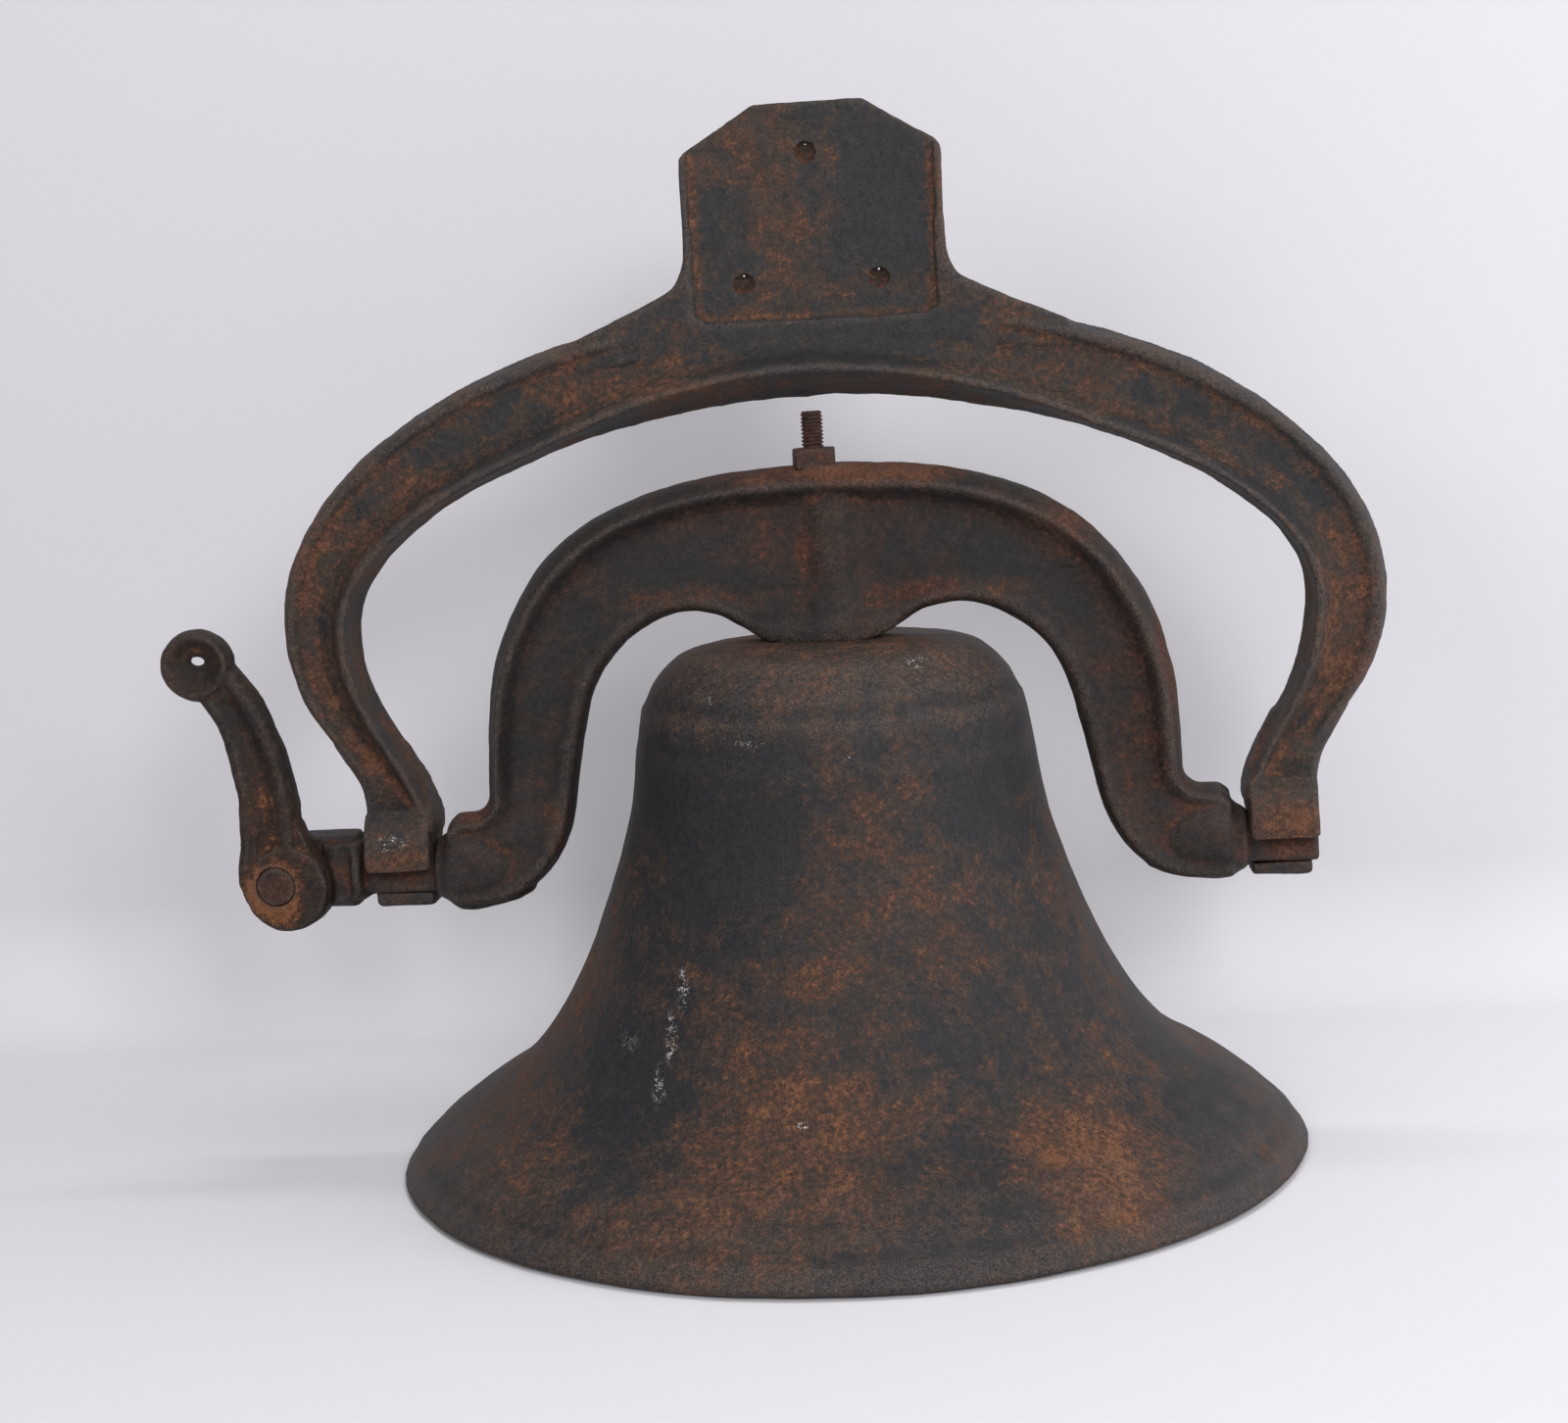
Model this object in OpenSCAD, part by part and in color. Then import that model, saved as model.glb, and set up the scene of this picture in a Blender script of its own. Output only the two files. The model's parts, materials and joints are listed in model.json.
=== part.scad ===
// Yard dinner bell: a cast-iron bell on a swinging yoke, hung from an arched hanger.
// Millimetres, +Z up, +X along the trunnions, +Y towards the post or beam.
// The origin is on the back face of the hanger's plate, midway between its two lower holes.

/* [Bell] */
// Width of the bell's mouth
mouth_d = 394; // [320:1:480]
// Height of the bell from mouth to crown
bell_h = 222; // [180:1:270]
// Wall at the waist
bell_wall = 6.5; // [5:0.1:9]
// Extra wall at the lip, where the clapper strikes
lip_extra = 3; // [1:0.1:5]
// Thickness of the crown, where the bolt passes
crown_t = 10; // [8:0.5:14]

/* [Yoke] */
// Width over the yoke's two arms
yoke_w = 304; // [290:1:360]
// Height of the yoke's crown above the trunnion axis
yoke_rise = 167.5; // [150:0.5:190]
// Width of each yoke arm, seen from the front
yoke_arm_w = 40; // [30:1:50]
// Depth of the yoke's crown, seen from the front
yoke_crown_w = 57; // [45:1:65]
// Front-to-back depth of the yoke's outer flange
yoke_flange_y = 32; // [26:1:40]
// Front-to-back thickness of the yoke's web
yoke_web_y = 14; // [10:1:20]
// Length of each foot past the yoke's arm, out towards its bearing
foot_reach = 21; // [16:0.5:26]
// Distance of the bell's mouth below the trunnion axis
axis_above_mouth = 128.5; // [110:0.5:145]

/* [Trunnions and bearings] */
// Diameter of the trunnions
trunnion_d = 22; // [18:0.1:26.5]
// Thickness of the trunnions across their two flats
trunnion_flat = 13; // [10:0.5:14]
// Radial play of a trunnion in its bearing
trunnion_play = 0.08; // [0.02:0.01:0.1]
// Width of each bearing block along the trunnion
block_w = 31; // [26:1:36]
// Iron round the bore of a bearing
block_wall = 6; // [5:0.5:8]
// End play between a bearing block and the shoulder beside it
end_play = 1.5; // [0.5:0.1:3]

/* [Hanger] */
// Clear gap between the yoke's bolt and the hanger's arch
arch_gap = 8; // [4:0.5:20]
// Clear gap between the yoke's arms and the hanger's arms where the hanger is widest
arm_gap = 54; // [50:1:80]
// Width of the arch's arms, seen from the front
arm_w = 35; // [28:0.5:42]
// Thickness of the arch's web
hanger_web = 11; // [8:0.5:12]
// Front-to-back depth of the rib on the arch's inner edge
inner_rib_y = 27; // [20:0.5:32]
// Width of that rib
inner_rib_w = 11; // [8:0.5:14]
// Front-to-back depth of the bead on the arch's outer edge
outer_bead_y = 14; // [11:0.5:18]
// Width of that bead
outer_bead_w = 5; // [4:0.5:8]

/* [Plate] */
// Width of the fixing plate
plate_w = 111; // [96:1:140]
// Height of the plate's top edge above its two lower holes
plate_rise = 75; // [68:0.5:90]
// Thickness of the plate
plate_t = 11; // [9:0.5:14]
// Depth of the shallow panel in the plate's front
panel_depth = 2; // [1:0.5:3]
// Diameter of the fixing holes, for 5/16 inch lag screws
hole_d = 8.5; // [7:0.1:11]
// Distance between the two lower holes
hole_spacing = 58; // [50:0.5:66]
// Height of the top hole above the lower ones
top_hole_rise = 54; // [46:0.5:60]

/* [Bolt and nut] */
// Diameter of the bell bolt, 3/8 inch
bolt_d = 9.525; // [8:0.005:12.7]
// Radial clearance of the bolt in the yoke and the bell
bolt_clearance = 0.4; // [0.2:0.05:0.8]
// Thread left standing above the nut
bolt_stand = 15.5; // [8:0.5:16]
// Width across the flats of the square nut
nut_af = 17.5; // [15:0.1:22]
// Height of the nut
nut_h = 8.7; // [7:0.1:11]
// Diameter of the washer inside the crown
washer_d = 34; // [28:1:44]
// Thickness of the washer
washer_t = 3; // [2:0.25:4]

/* [Clapper] */
// Diameter of the clapper's ball
ball_d = 42; // [36:1:50]
// Height of the middle of the clapper's ball above the bell's mouth
ball_rise = 30; // [26:1:48]
// Diameter of the clapper's rod
rod_d = 13; // [10:0.5:16]
// Thickness of the clapper's eye, along its pin
clapper_eye_t = 11; // [9:0.5:13]
// Diameter of the clapper's pin
clapper_pin_d = 8; // [6:0.5:9]
// Play on each side of the clapper's eye
eye_side_play = 0.6; // [0.4:0.1:1]
// Radial play of the clapper on its pin
pin_play = 0.1; // [0.05:0.01:0.1]

/* [Crank lever] */
// Distance from the lever's pin to its eye, straight up
lever_rise = 98; // [80:1:120]
// Distance that the lever's eye leans outward from its pin
lever_lean = 30.5; // [24:0.5:38]
// Radius of the lever's boss
lever_boss_r = 19.5; // [17:0.5:21]
// Radius of the yoke's lug behind it
lug_r = 20.5; // [18:0.5:22]
// Front-to-back thickness of the lever at its boss
lever_boss_y = 15; // [12:0.5:18]
// Width of the lever's arm
lever_arm_w = 25; // [20:0.5:28]
// Outer radius of the lever's eye
lever_eye_r = 15.8; // [13:0.2:18]
// Radius of the rope hole at the middle of the eye
rope_hole_r = 4; // [3.5:0.1:6]
// Length of that narrow middle of the rope hole
rope_hole_l = 4; // [3:0.5:6]
// Diameter of the lever's pin
lever_pin_d = 17; // [14:0.5:18]
// Distance of the lever's pin beyond its bearing block
lever_out = 37.5; // [34:0.5:44]

/* [Hidden] */
$fn = 96;

// Colours of the iron
iron_hanger = "#4b403a";
iron_yoke = "#4a3b36";
iron_bell = "#4d3d34";
iron_lever = "#5a4438";
steel_rust = "#6e4a3a";

eps = 0.01;
// How far a cut runs past the iron, and the length of a cut right through it.
past = 1;
through_l = 80;
mouth_r = mouth_d / 2;
trunnion_r = trunnion_d / 2;
bore_r = trunnion_r + trunnion_play;
block_r = bore_r + block_wall;
bolt_r = bolt_d / 2;

// Heights above the trunnion axis
crown_z = bell_h - axis_above_mouth;
mouth_z = -axis_above_mouth;
nut_z = yoke_rise;
bolt_top_z = nut_z + nut_h + bolt_stand;

// Distances along the trunnions
yoke_x = yoke_w / 2;
foot_x = yoke_x + foot_reach;
shoulder_t = 3;
shoulder_x = foot_x + shoulder_t;
block_x0 = shoulder_x + end_play;
block_x1 = block_x0 + block_w;
hanger_in_x = yoke_x + arm_gap;
hanger_out_x = hanger_in_x + arm_w;

// The arch: the height of its widest point, and of its inner and outer tops
arch_mid_z = 106;
arch_in_z = bolt_top_z + arch_gap;
crown_extra = 5.5;
arch_out_z = arch_in_z + arm_w + crown_extra;
inner_round = 1.85;
outer_round = 2;

// The trunnion axis, seen from the origin on the plate's back
hole_gap_z = 6.5;
axis_y = -block_r;
axis_z = -(arch_out_z + hole_gap_z);

// The lever's pin, seen from the trunnion axis
lever_x = -(block_x1 + lever_out);
lever_z = -3;
lug_front_y = -3;
lug_t = 16;
lap_play = 0.4;
boss_shift = 1.5;

// The clapper's pin, seen from the trunnion axis
clevis_top_z = crown_z - crown_t - washer_t;
clevis_neck = 9;
clevis_r = 12;
clevis_drop = 12;
clapper_pin_z = clevis_top_z - clevis_neck - clevis_drop;
clapper_l = clapper_pin_z - mouth_z - ball_rise;
ear_in_x = clapper_eye_t / 2 + eye_side_play;
ear_t = 5;
ear_out_x = ear_in_x + ear_t;
pin_head_t = 3;
pin_head_extra = 5;
pin_tail = 7;
cotter_d = 2.4;
cotter_leg = 10;
cotter_ring_r = 2.6;
cotter_ring_drop = 3;

module at_axis() { translate([0, axis_y, axis_z]) children(); }

// Stands a flat outline up in the XZ plane, from y0 back to y1.
module upright(y0, y1) {
  translate([0, y1, 0]) rotate([90, 0, 0]) linear_extrude(height = y1 - y0) children();
}

// A quarter of a rounded arch, from its top to its widest point.
function arch(a, b, n, z0, steps) =
  [for (i = [0:steps]) let (t = 90 - 90 * i / steps)
    [a * pow(max(cos(t), 0), 2 / n), z0 + b * pow(max(sin(t), 0), 2 / n)]];

// An easy S-shaped run from one width to another, coming down from z0 to z1.
function ease(x0, x1, z0, z1, bend, steps) =
  [for (i = [1:steps]) let (s = i / steps)
    [x1 + (x0 - x1) * (1 + cos(180 * pow(s, bend))) / 2, z0 + (z1 - z0) * s]];

// An arc of a circle, from angle a0 to angle a1.
function arc(x, z, r, a0, a1, steps) =
  [for (i = [0:steps]) let (a = a0 + (a1 - a0) * i / steps) [x + r * cos(a), z + r * sin(a)]];

function flip(points) = [for (i = [len(points) - 1:-1:0]) [-points[i][0], points[i][1]]];
function both(points) = concat(flip(points), [for (i = [1:len(points) - 1]) points[i]]);
function backwards(points) = [for (i = [len(points) - 1:-1:0]) points[i]];

// A smooth run through a list of points.
function between(a, b, c, d, t) =
  0.5 * (2 * b + (c - a) * t + (2 * a - 5 * b + 4 * c - d) * t * t
         + (3 * b - 3 * c + d - a) * t * t * t);
function smooth(p, steps) = [for (i = [0:len(p) - 2]) for (k = [0:steps - 1])
  between(p[max(i - 1, 0)], p[i], p[i + 1], p[min(i + 2, len(p) - 1)], k / steps), p[len(p) - 1]];

// ---- Hanger ----

// The arms meet the blocks here.
arm_foot_z = 22;
in_bend = 1.15;
out_bend = 1.35;
function hanger_in(grow) = concat(
  arch(hanger_in_x + grow, arch_in_z - arch_mid_z + grow, inner_round, arch_mid_z, 20),
  ease(hanger_in_x + grow, block_x0 + grow, arch_mid_z, arm_foot_z, in_bend, 12));
function hanger_out(grow) = concat(
  arch(hanger_out_x - grow, arch_out_z - arch_mid_z - grow, outer_round, arch_mid_z, 20),
  ease(hanger_out_x - grow, block_x1 - grow, arch_mid_z, arm_foot_z, out_bend, 12));

// The arch between two of its curves.
module arch_band(outer, inner) {
  difference() {
    polygon(both(outer));
    polygon(concat(both(inner), [[inner[len(inner) - 1][0], 0], [-inner[len(inner) - 1][0], 0]]));
  }
}

// The plate's sides run out into the arch in a flare.
flare_r = 14;
flare_drop = 3.5;
flare_out = 48;
flare_foot = 16;
plate_flat = 24;
plate_corner = 19;
module plate_outline() {
  half = plate_w / 2;
  top = plate_rise - axis_z;
  foot = -axis_z - flare_drop;
  polygon(both(concat(
    [[0, top], [plate_flat, top], [half, top - plate_corner]],
    arc(half + flare_r, foot + flare_r, flare_r, 180, 246, 8),
    [[half + flare_out, foot - flare_foot]])));
}

panel_rim = 2.8;
panel_foot = 15.5;
panel_corner = 7;
module plate_panel() {
  half = plate_w / 2 - panel_rim;
  foot = -axis_z - panel_foot;
  top = plate_rise - axis_z + past;
  corner = arc(half - panel_corner, foot + panel_corner, panel_corner, 0, -90, 6);
  polygon(both(concat([[0, top], [half, top]], corner)));
}

// One bearing, seen from its end: a hook over the trunnion, with a short lip under it.
lip_front_y = 1;
lip_bevel = 3;
nose_z = 2.5;
hood_rise = 6;
hood_r = 7;
module bearing_outline() {
  lip_z = -bore_r - block_wall;
  difference() {
    union() {
      circle(r = block_r);
      translate([-block_r, 0]) square([2 * block_r, arm_foot_z + hood_rise]);
      polygon([[0, 0], [block_r, 0], [block_r, lip_z + lip_bevel], [block_r - lip_bevel, lip_z],
               [-lip_front_y, lip_z], [-lip_front_y, 0]]);
      translate([-block_r + hood_r, arm_foot_z + hood_rise]) circle(r = hood_r);
      translate([-block_r + hood_r, arm_foot_z]) square([2 * block_r - hood_r, hood_rise + hood_r]);
    }
    circle(r = bore_r);
    translate([-2 * block_r, -2 * block_r]) square([2 * block_r - lip_front_y, 2 * block_r + nose_z]);
  }
}

module bearing() {
  translate([block_x0, 0, 0]) rotate([90, 0, 90]) linear_extrude(height = block_w) bearing_outline();
}

module hanger() {
  back = -axis_y;
  color(iron_hanger) at_axis() {
    difference() {
      union() {
        upright(back - hanger_web, back) {
          arch_band(hanger_out(0), hanger_in(0));
        }
        upright(back - inner_rib_y, back) arch_band(hanger_in(inner_rib_w), hanger_in(0));
        upright(back - outer_bead_y, back) arch_band(hanger_out(0), hanger_out(outer_bead_w));
        upright(back - plate_t, back) plate_outline();
        bearing();
        mirror([1, 0, 0]) bearing();
      }
      upright(back - plate_t - past, back - plate_t + panel_depth) plate_panel();
      for (x = [-hole_spacing / 2, hole_spacing / 2]) {
        translate([x, back + past, -axis_z]) rotate([90, 0, 0])
          cylinder(d = hole_d, h = plate_t + 2 * past);
      }
      translate([0, back + past, top_hole_rise - axis_z]) rotate([90, 0, 0])
        cylinder(d = hole_d, h = plate_t + 2 * past);
    }
  }
}

// ---- Yoke ----

yoke_round = 2.55;
inside_round = 3;
yoke_mid_z = 35;
foot_top_z = 22;
foot_low_z = -16.5;
foot_fillet = 7;
foot_bevel = 5;
// The foot's inner edge: steps out from the arm's inner edge, and heights above the axis.
foot_curve = [[3, 21.5], [8, 8.5], [17, -4.5], [28, -13]];
foot_curve_end = 40;
function yoke_out(grow) = concat(
  arch(yoke_x - grow, yoke_rise - yoke_mid_z - grow, yoke_round, yoke_mid_z, 24),
  arc(yoke_x + foot_fillet - grow, foot_top_z + foot_fillet - grow, foot_fillet, 180, 270, 6),
  [[foot_x - grow, foot_top_z - grow]],
  [[foot_x - grow, foot_low_z + foot_bevel + grow], [foot_x - foot_bevel - grow, foot_low_z + grow]]);
function yoke_in(grow) = concat(
  arch(yoke_x - yoke_arm_w + grow, yoke_rise - yoke_crown_w - yoke_mid_z + grow, inside_round,
       yoke_mid_z, 24),
  [for (i = [0:len(foot_curve) - 1]) let (step = foot_curve[i])
    [yoke_x - yoke_arm_w + step[0] + grow, step[1] + grow * i / 3]],
  [[yoke_x - yoke_arm_w + foot_curve_end, foot_low_z + grow]]);

module yoke_band(outer, inner) { polygon(concat(both(outer), backwards(both(inner)))); }

// The boss that seats on the bell: a round swelling under the crown of the yoke.
boss_round = 52;
boss_rise = 27;
boss_sink = 2;
boss_inset = 2;
module boss_outline() {
  intersection() {
    translate([0, crown_z + boss_round - boss_sink]) circle(r = boss_round);
    translate([-boss_round, crown_z]) square([2 * boss_round, boss_rise]);
  }
}

collar_r = 17;
collar_t = 7;
trunnion_end = 0.5;
module trunnion(x0, x1) {
  intersection() {
    translate([x0, 0, 0]) rotate([0, 90, 0]) cylinder(r = trunnion_r, h = x1 - x0);
    translate([x0, -trunnion_flat / 2, -trunnion_r]) cube([x1 - x0, trunnion_flat, trunnion_d]);
  }
}

rib_r = 13;
rib_gap = 6;
flange_t = 8.5;
inner_bead_w = 7;
inner_bead_rise = 3;
module yoke_castings() {
  web = yoke_web_y / 2;
  flange = yoke_flange_y / 2;
  difference() {
    union() {
      upright(-web, web) yoke_band(yoke_out(0), yoke_in(0));
      upright(-flange, flange) yoke_band(yoke_out(0), yoke_out(flange_t));
      upright(-web - inner_bead_rise, web + inner_bead_rise)
        yoke_band(yoke_in(inner_bead_w), yoke_in(0));
      upright(-flange + boss_inset, flange - boss_inset) boss_outline();
      translate([0, 0, crown_z + boss_sink]) cylinder(r = rib_r, h = yoke_rise - crown_z - rib_gap);
    }
    translate([0, 0, crown_z - past]) cylinder(r = bolt_r + bolt_clearance, h = yoke_rise);
  }
}

// A thick end on each foot, and the shoulder that bears on the block's side.
foot_block_l = 24;
foot_block_y = 28;
shoulder_r = 15;
shoulder_taper = 1.5;
module foot_end() {
  translate([foot_x - foot_block_l, -foot_block_y / 2, foot_low_z])
    cube([foot_block_l, foot_block_y, foot_top_z - foot_low_z]);
  translate([foot_x - eps, 0, 0]) rotate([0, 90, 0])
    cylinder(r1 = shoulder_r, r2 = shoulder_r - shoulder_taper, h = shoulder_x - foot_x + eps);
}

lug_neck_low = 1;
lug_neck_high = 2;
boss_play = 1.5;
module yoke() {
  collar_x = block_x1 + end_play;
  lug_x = -lever_x;
  color(iron_yoke) at_axis() {
    yoke_castings();
    foot_end();
    mirror([1, 0, 0]) foot_end();
    trunnion(shoulder_x - eps, block_x1 - trunnion_end);
    mirror([1, 0, 0]) {
      trunnion(shoulder_x - eps, collar_x + eps);
      difference() {
        union() {
          translate([collar_x, 0, 0]) rotate([0, 90, 0]) cylinder(r = collar_r, h = collar_t);
          translate([collar_x + collar_t - eps, -lug_t / 2, -collar_r + lug_neck_low])
            cube([lug_x - collar_x - collar_t, lug_t / 2 + lug_t + lug_front_y,
                  2 * collar_r - lug_neck_low - lug_neck_high]);
          translate([lug_x, lug_front_y + lug_t, lever_z]) rotate([90, 0, 0])
            cylinder(r = lug_r, h = lug_t);
        }
        // The lever's boss turns in front of the lug.
        translate([lug_x, lug_front_y, lever_z]) rotate([90, 0, 0])
          cylinder(r = lever_boss_r + boss_shift + boss_play, h = through_l);
        translate([lug_x, through_l / 2, lever_z]) rotate([90, 0, 0])
          cylinder(d = lever_pin_d, h = through_l);
      }
    }
  }
}

// ---- Bell ----

// The outside of the bell from lip to crown, as shares of its mouth's radius and its height.
bell_curve = [[1, 0], [0.949, 0.054], [0.871, 0.108], [0.772, 0.162], [0.703, 0.216],
  [0.632, 0.297], [0.565, 0.405], [0.505, 0.541], [0.459, 0.676], [0.434, 0.811],
  [0.424, 0.874], [0.398, 0.923], [0.36, 0.962], [0.3, 0.986], [0.16, 1]];
bell_out = [for (p = smooth(bell_curve, 4)) [p[0] * mouth_r, p[1] * bell_h]];

// The wall is thickest near the lip and thins to the waist.
thick_z = 18;
thick_reach = 22;
function wall_at(z) = bell_wall + lip_extra * exp(-pow((z - thick_z) / thick_reach, 2));
function inward(p, i) =
  let (a = p[max(i - 1, 0)], b = p[min(i + 1, len(p) - 1)], d = b - a, l = norm(d))
  [p[i][0] - d[1] / l * wall_at(p[i][1]), p[i][1] + d[0] / l * wall_at(p[i][1])];
inner_top = bell_h - crown_t;
lip_t = 8;
lip_flat = 2;
crown_fillet = 6;
lip_in = [mouth_r - lip_t, 0];
bell_in = [for (i = [1:len(bell_out) - 1]) let (q = inward(bell_out, i))
  if (q[1] > lip_flat && q[1] < inner_top - past) q];

module bell() {
  color(iron_bell) at_axis() translate([0, 0, mouth_z]) difference() {
    rotate_extrude() polygon(concat(
      [[0, bell_h]], [for (i = [len(bell_out) - 1:-1:0]) bell_out[i]],
      [lip_in], bell_in, [[bell_in[len(bell_in) - 1][0] - crown_fillet, inner_top], [0, inner_top]]));
    translate([0, 0, inner_top - past])
      cylinder(r = bolt_r + bolt_clearance, h = crown_t + 2 * past);
  }
}

// ---- Bolt, nut and washer ----

module bell_bolt() {
  ear_r = 9;
  color(steel_rust) at_axis() difference() {
    union() {
      translate([0, 0, clevis_top_z - eps]) cylinder(r = bolt_r, h = bolt_top_z - clevis_top_z);
      translate([0, 0, clevis_top_z - clevis_neck]) cylinder(r = clevis_r, h = clevis_neck);
      for (x = [-ear_out_x, ear_in_x]) {
        translate([x, -ear_r, clapper_pin_z])
          cube([ear_t, 2 * ear_r, clevis_drop + eps]);
        translate([x, 0, clapper_pin_z]) rotate([0, 90, 0]) cylinder(r = ear_r, h = ear_t);
      }
    }
    translate([-through_l / 2, 0, clapper_pin_z]) rotate([0, 90, 0])
      cylinder(d = clapper_pin_d, h = through_l);
  }
}

nut_turn = 8;
nut_corner_share = 0.64;
module bell_nut() {
  color(steel_rust) at_axis() translate([0, 0, nut_z]) rotate([0, 0, nut_turn]) difference() {
    intersection() {
      translate([-nut_af / 2, -nut_af / 2, 0]) cube([nut_af, nut_af, nut_h]);
      cylinder(r = nut_af * nut_corner_share, h = nut_h);
    }
    translate([0, 0, -past]) cylinder(r = bolt_r, h = nut_h + 2 * past);
  }
}

module crown_washer() {
  color(steel_rust) at_axis() translate([0, 0, clevis_top_z]) difference() {
    cylinder(d = washer_d, h = washer_t);
    translate([0, 0, -past]) cylinder(r = bolt_r + bolt_clearance, h = washer_t + 2 * past);
  }
}

// ---- Clapper ----

module clapper_pin() {
  tail_x = ear_out_x + pin_tail;
  color(steel_rust) at_axis() translate([0, 0, clapper_pin_z]) difference() {
    union() {
      translate([-ear_out_x - eps, 0, 0]) rotate([0, 90, 0])
        cylinder(d = clapper_pin_d, h = ear_out_x + tail_x);
      translate([-ear_out_x - pin_head_t, 0, 0]) rotate([0, 90, 0])
        cylinder(d = clapper_pin_d + pin_head_extra, h = pin_head_t);
    }
    translate([ear_out_x + pin_tail / 2, 0, -cotter_leg]) cylinder(d = cotter_d, h = 2 * cotter_leg, $fn = 24);
  }
}

module cotter_pin() {
  color(steel_rust) at_axis() translate([ear_out_x + pin_tail / 2, 0, clapper_pin_z]) {
    translate([0, 0, -cotter_leg])
      cylinder(d = cotter_d, h = 2 * cotter_leg - cotter_ring_drop, $fn = 24);
    translate([0, 0, cotter_leg - cotter_ring_drop + cotter_ring_r]) rotate([0, 90, 0])
      rotate_extrude($fn = 48) translate([cotter_ring_r, 0]) circle(d = cotter_d, $fn = 24);
  }
}

clapper_eye_r = 10;
rod_top = 4;
rod_round_top = 24;
nub_l = 5;
nub_r = 6;
nub_sink = 4;
nub_root_r = 9;
module clapper() {
  color(iron_hanger) at_axis() translate([0, 0, clapper_pin_z]) difference() {
    union() {
      translate([-clapper_eye_t / 2, 0, 0]) rotate([0, 90, 0]) cylinder(r = clapper_eye_r, h = clapper_eye_t);
      intersection() {
        translate([0, 0, -clapper_l]) cylinder(d = rod_d, h = clapper_l - rod_top);
        translate([-clapper_eye_t / 2, -rod_d, -clapper_l]) cube([clapper_eye_t, 2 * rod_d, clapper_l]);
      }
      translate([0, 0, -clapper_l]) cylinder(d = rod_d, h = clapper_l - rod_round_top);
      translate([0, 0, -clapper_l]) sphere(d = ball_d);
      translate([0, 0, -clapper_l - ball_d / 2 - nub_l])
        cylinder(r1 = nub_r, r2 = nub_root_r, h = nub_l + nub_sink);
    }
    translate([-through_l / 2, 0, 0]) rotate([0, 90, 0])
      cylinder(r = clapper_pin_d / 2 + pin_play, h = through_l);
  }
}

// ---- Crank lever ----

lever_front_y = lug_front_y - lap_play - lever_boss_y;
lever_start = [-4, 18];
lever_bend = [-9, 63];
lever_tip = [-lever_lean, lever_rise];
function lever_mid(t) =
  (1 - t) * (1 - t) * lever_start + 2 * t * (1 - t) * lever_bend + t * t * lever_tip;
function lever_side(t) =
  let (d = lever_mid(t + 0.01) - lever_mid(t - 0.01)) [d[1], -d[0]] / norm(d);
function lever_strip(half0, half1, steps) = concat(
  [for (i = [0:steps]) let (t = i / steps) lever_mid(t) + lever_side(t) * (half0 + (half1 - half0) * t)],
  [for (i = [steps:-1:0]) let (t = i / steps) lever_mid(t) - lever_side(t) * (half0 + (half1 - half0) * t)]);

arm_root_extra = 2;
arm_tip_less = 3;
arm_set_back = 1;
eye_less = 2;
groove_half = 4;
groove_tip_half = 2.5;
groove_depth = 4;
funnel_rim = 5;
module crank_lever() {
  arm_half = lever_arm_w / 2;
  arm_back_y = lug_front_y - lap_play;
  eye_t = lever_boss_y - eye_less;
  funnel_l = (eye_t - rope_hole_l) / 2;
  funnel_r = lever_eye_r - funnel_rim;
  color(iron_lever) at_axis() translate([lever_x, 0, lever_z]) difference() {
    union() {
      upright(lever_front_y, arm_back_y) translate([boss_shift, 0]) circle(r = lever_boss_r);
      upright(lever_front_y + arm_set_back, arm_back_y)
        polygon(lever_strip(arm_half + arm_root_extra, arm_half - arm_tip_less, 14));
      upright(lever_front_y + arm_set_back, arm_back_y - arm_set_back)
        translate(lever_tip) circle(r = lever_eye_r);
    }
    upright(lever_front_y - past, lever_front_y + groove_depth)
      polygon(lever_strip(groove_half, groove_tip_half, 14));
    translate([0, through_l / 2, 0]) rotate([90, 0, 0])
      cylinder(r = lever_pin_d / 2 + pin_play, h = through_l);
    translate([lever_tip[0], 0, lever_tip[1]]) rotate([90, 0, 0])
      translate([0, 0, arm_set_back - arm_back_y - eps]) {
        translate([0, 0, -past]) cylinder(r = rope_hole_r, h = eye_t + 2 * past);
        translate([0, 0, -eps]) cylinder(r1 = funnel_r, r2 = rope_hole_r, h = funnel_l);
        translate([0, 0, eye_t - funnel_l]) cylinder(r1 = rope_hole_r, r2 = funnel_r, h = funnel_l + eps * 2);
      }
  }
}

pin_back_head_t = 4;
pin_back_head_r = 12;
pin_proud = 0.5;
module lever_pin() {
  back = lug_front_y + lug_t;
  color(steel_rust) at_axis() translate([lever_x, 0, lever_z]) {
    upright(lever_front_y - pin_proud, back + eps) circle(r = lever_pin_d / 2);
    upright(back, back + pin_back_head_t) circle(r = pin_back_head_r);
  }
}

hanger();
yoke();
bell();
bell_bolt();
bell_nut();
crown_washer();
clapper_pin();
cotter_pin();
clapper();
crank_lever();
lever_pin();
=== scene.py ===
# %% [markdown]
# # A yard dinner bell in cast iron
# A cast-iron bell hangs from a swinging yoke, and the yoke turns in the two hooked
# bearings of an arched hanger. A crank lever on the yoke's left end takes the rope.
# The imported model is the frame: every piece below is built in metres in the same place
# as its plain twin, stands in for it, and rides on the same body.

# %% load the frame
import json
import math
from functools import partial

import bmesh
import bpy
import numpy as np
from mathutils import Matrix, Vector, noise


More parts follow.
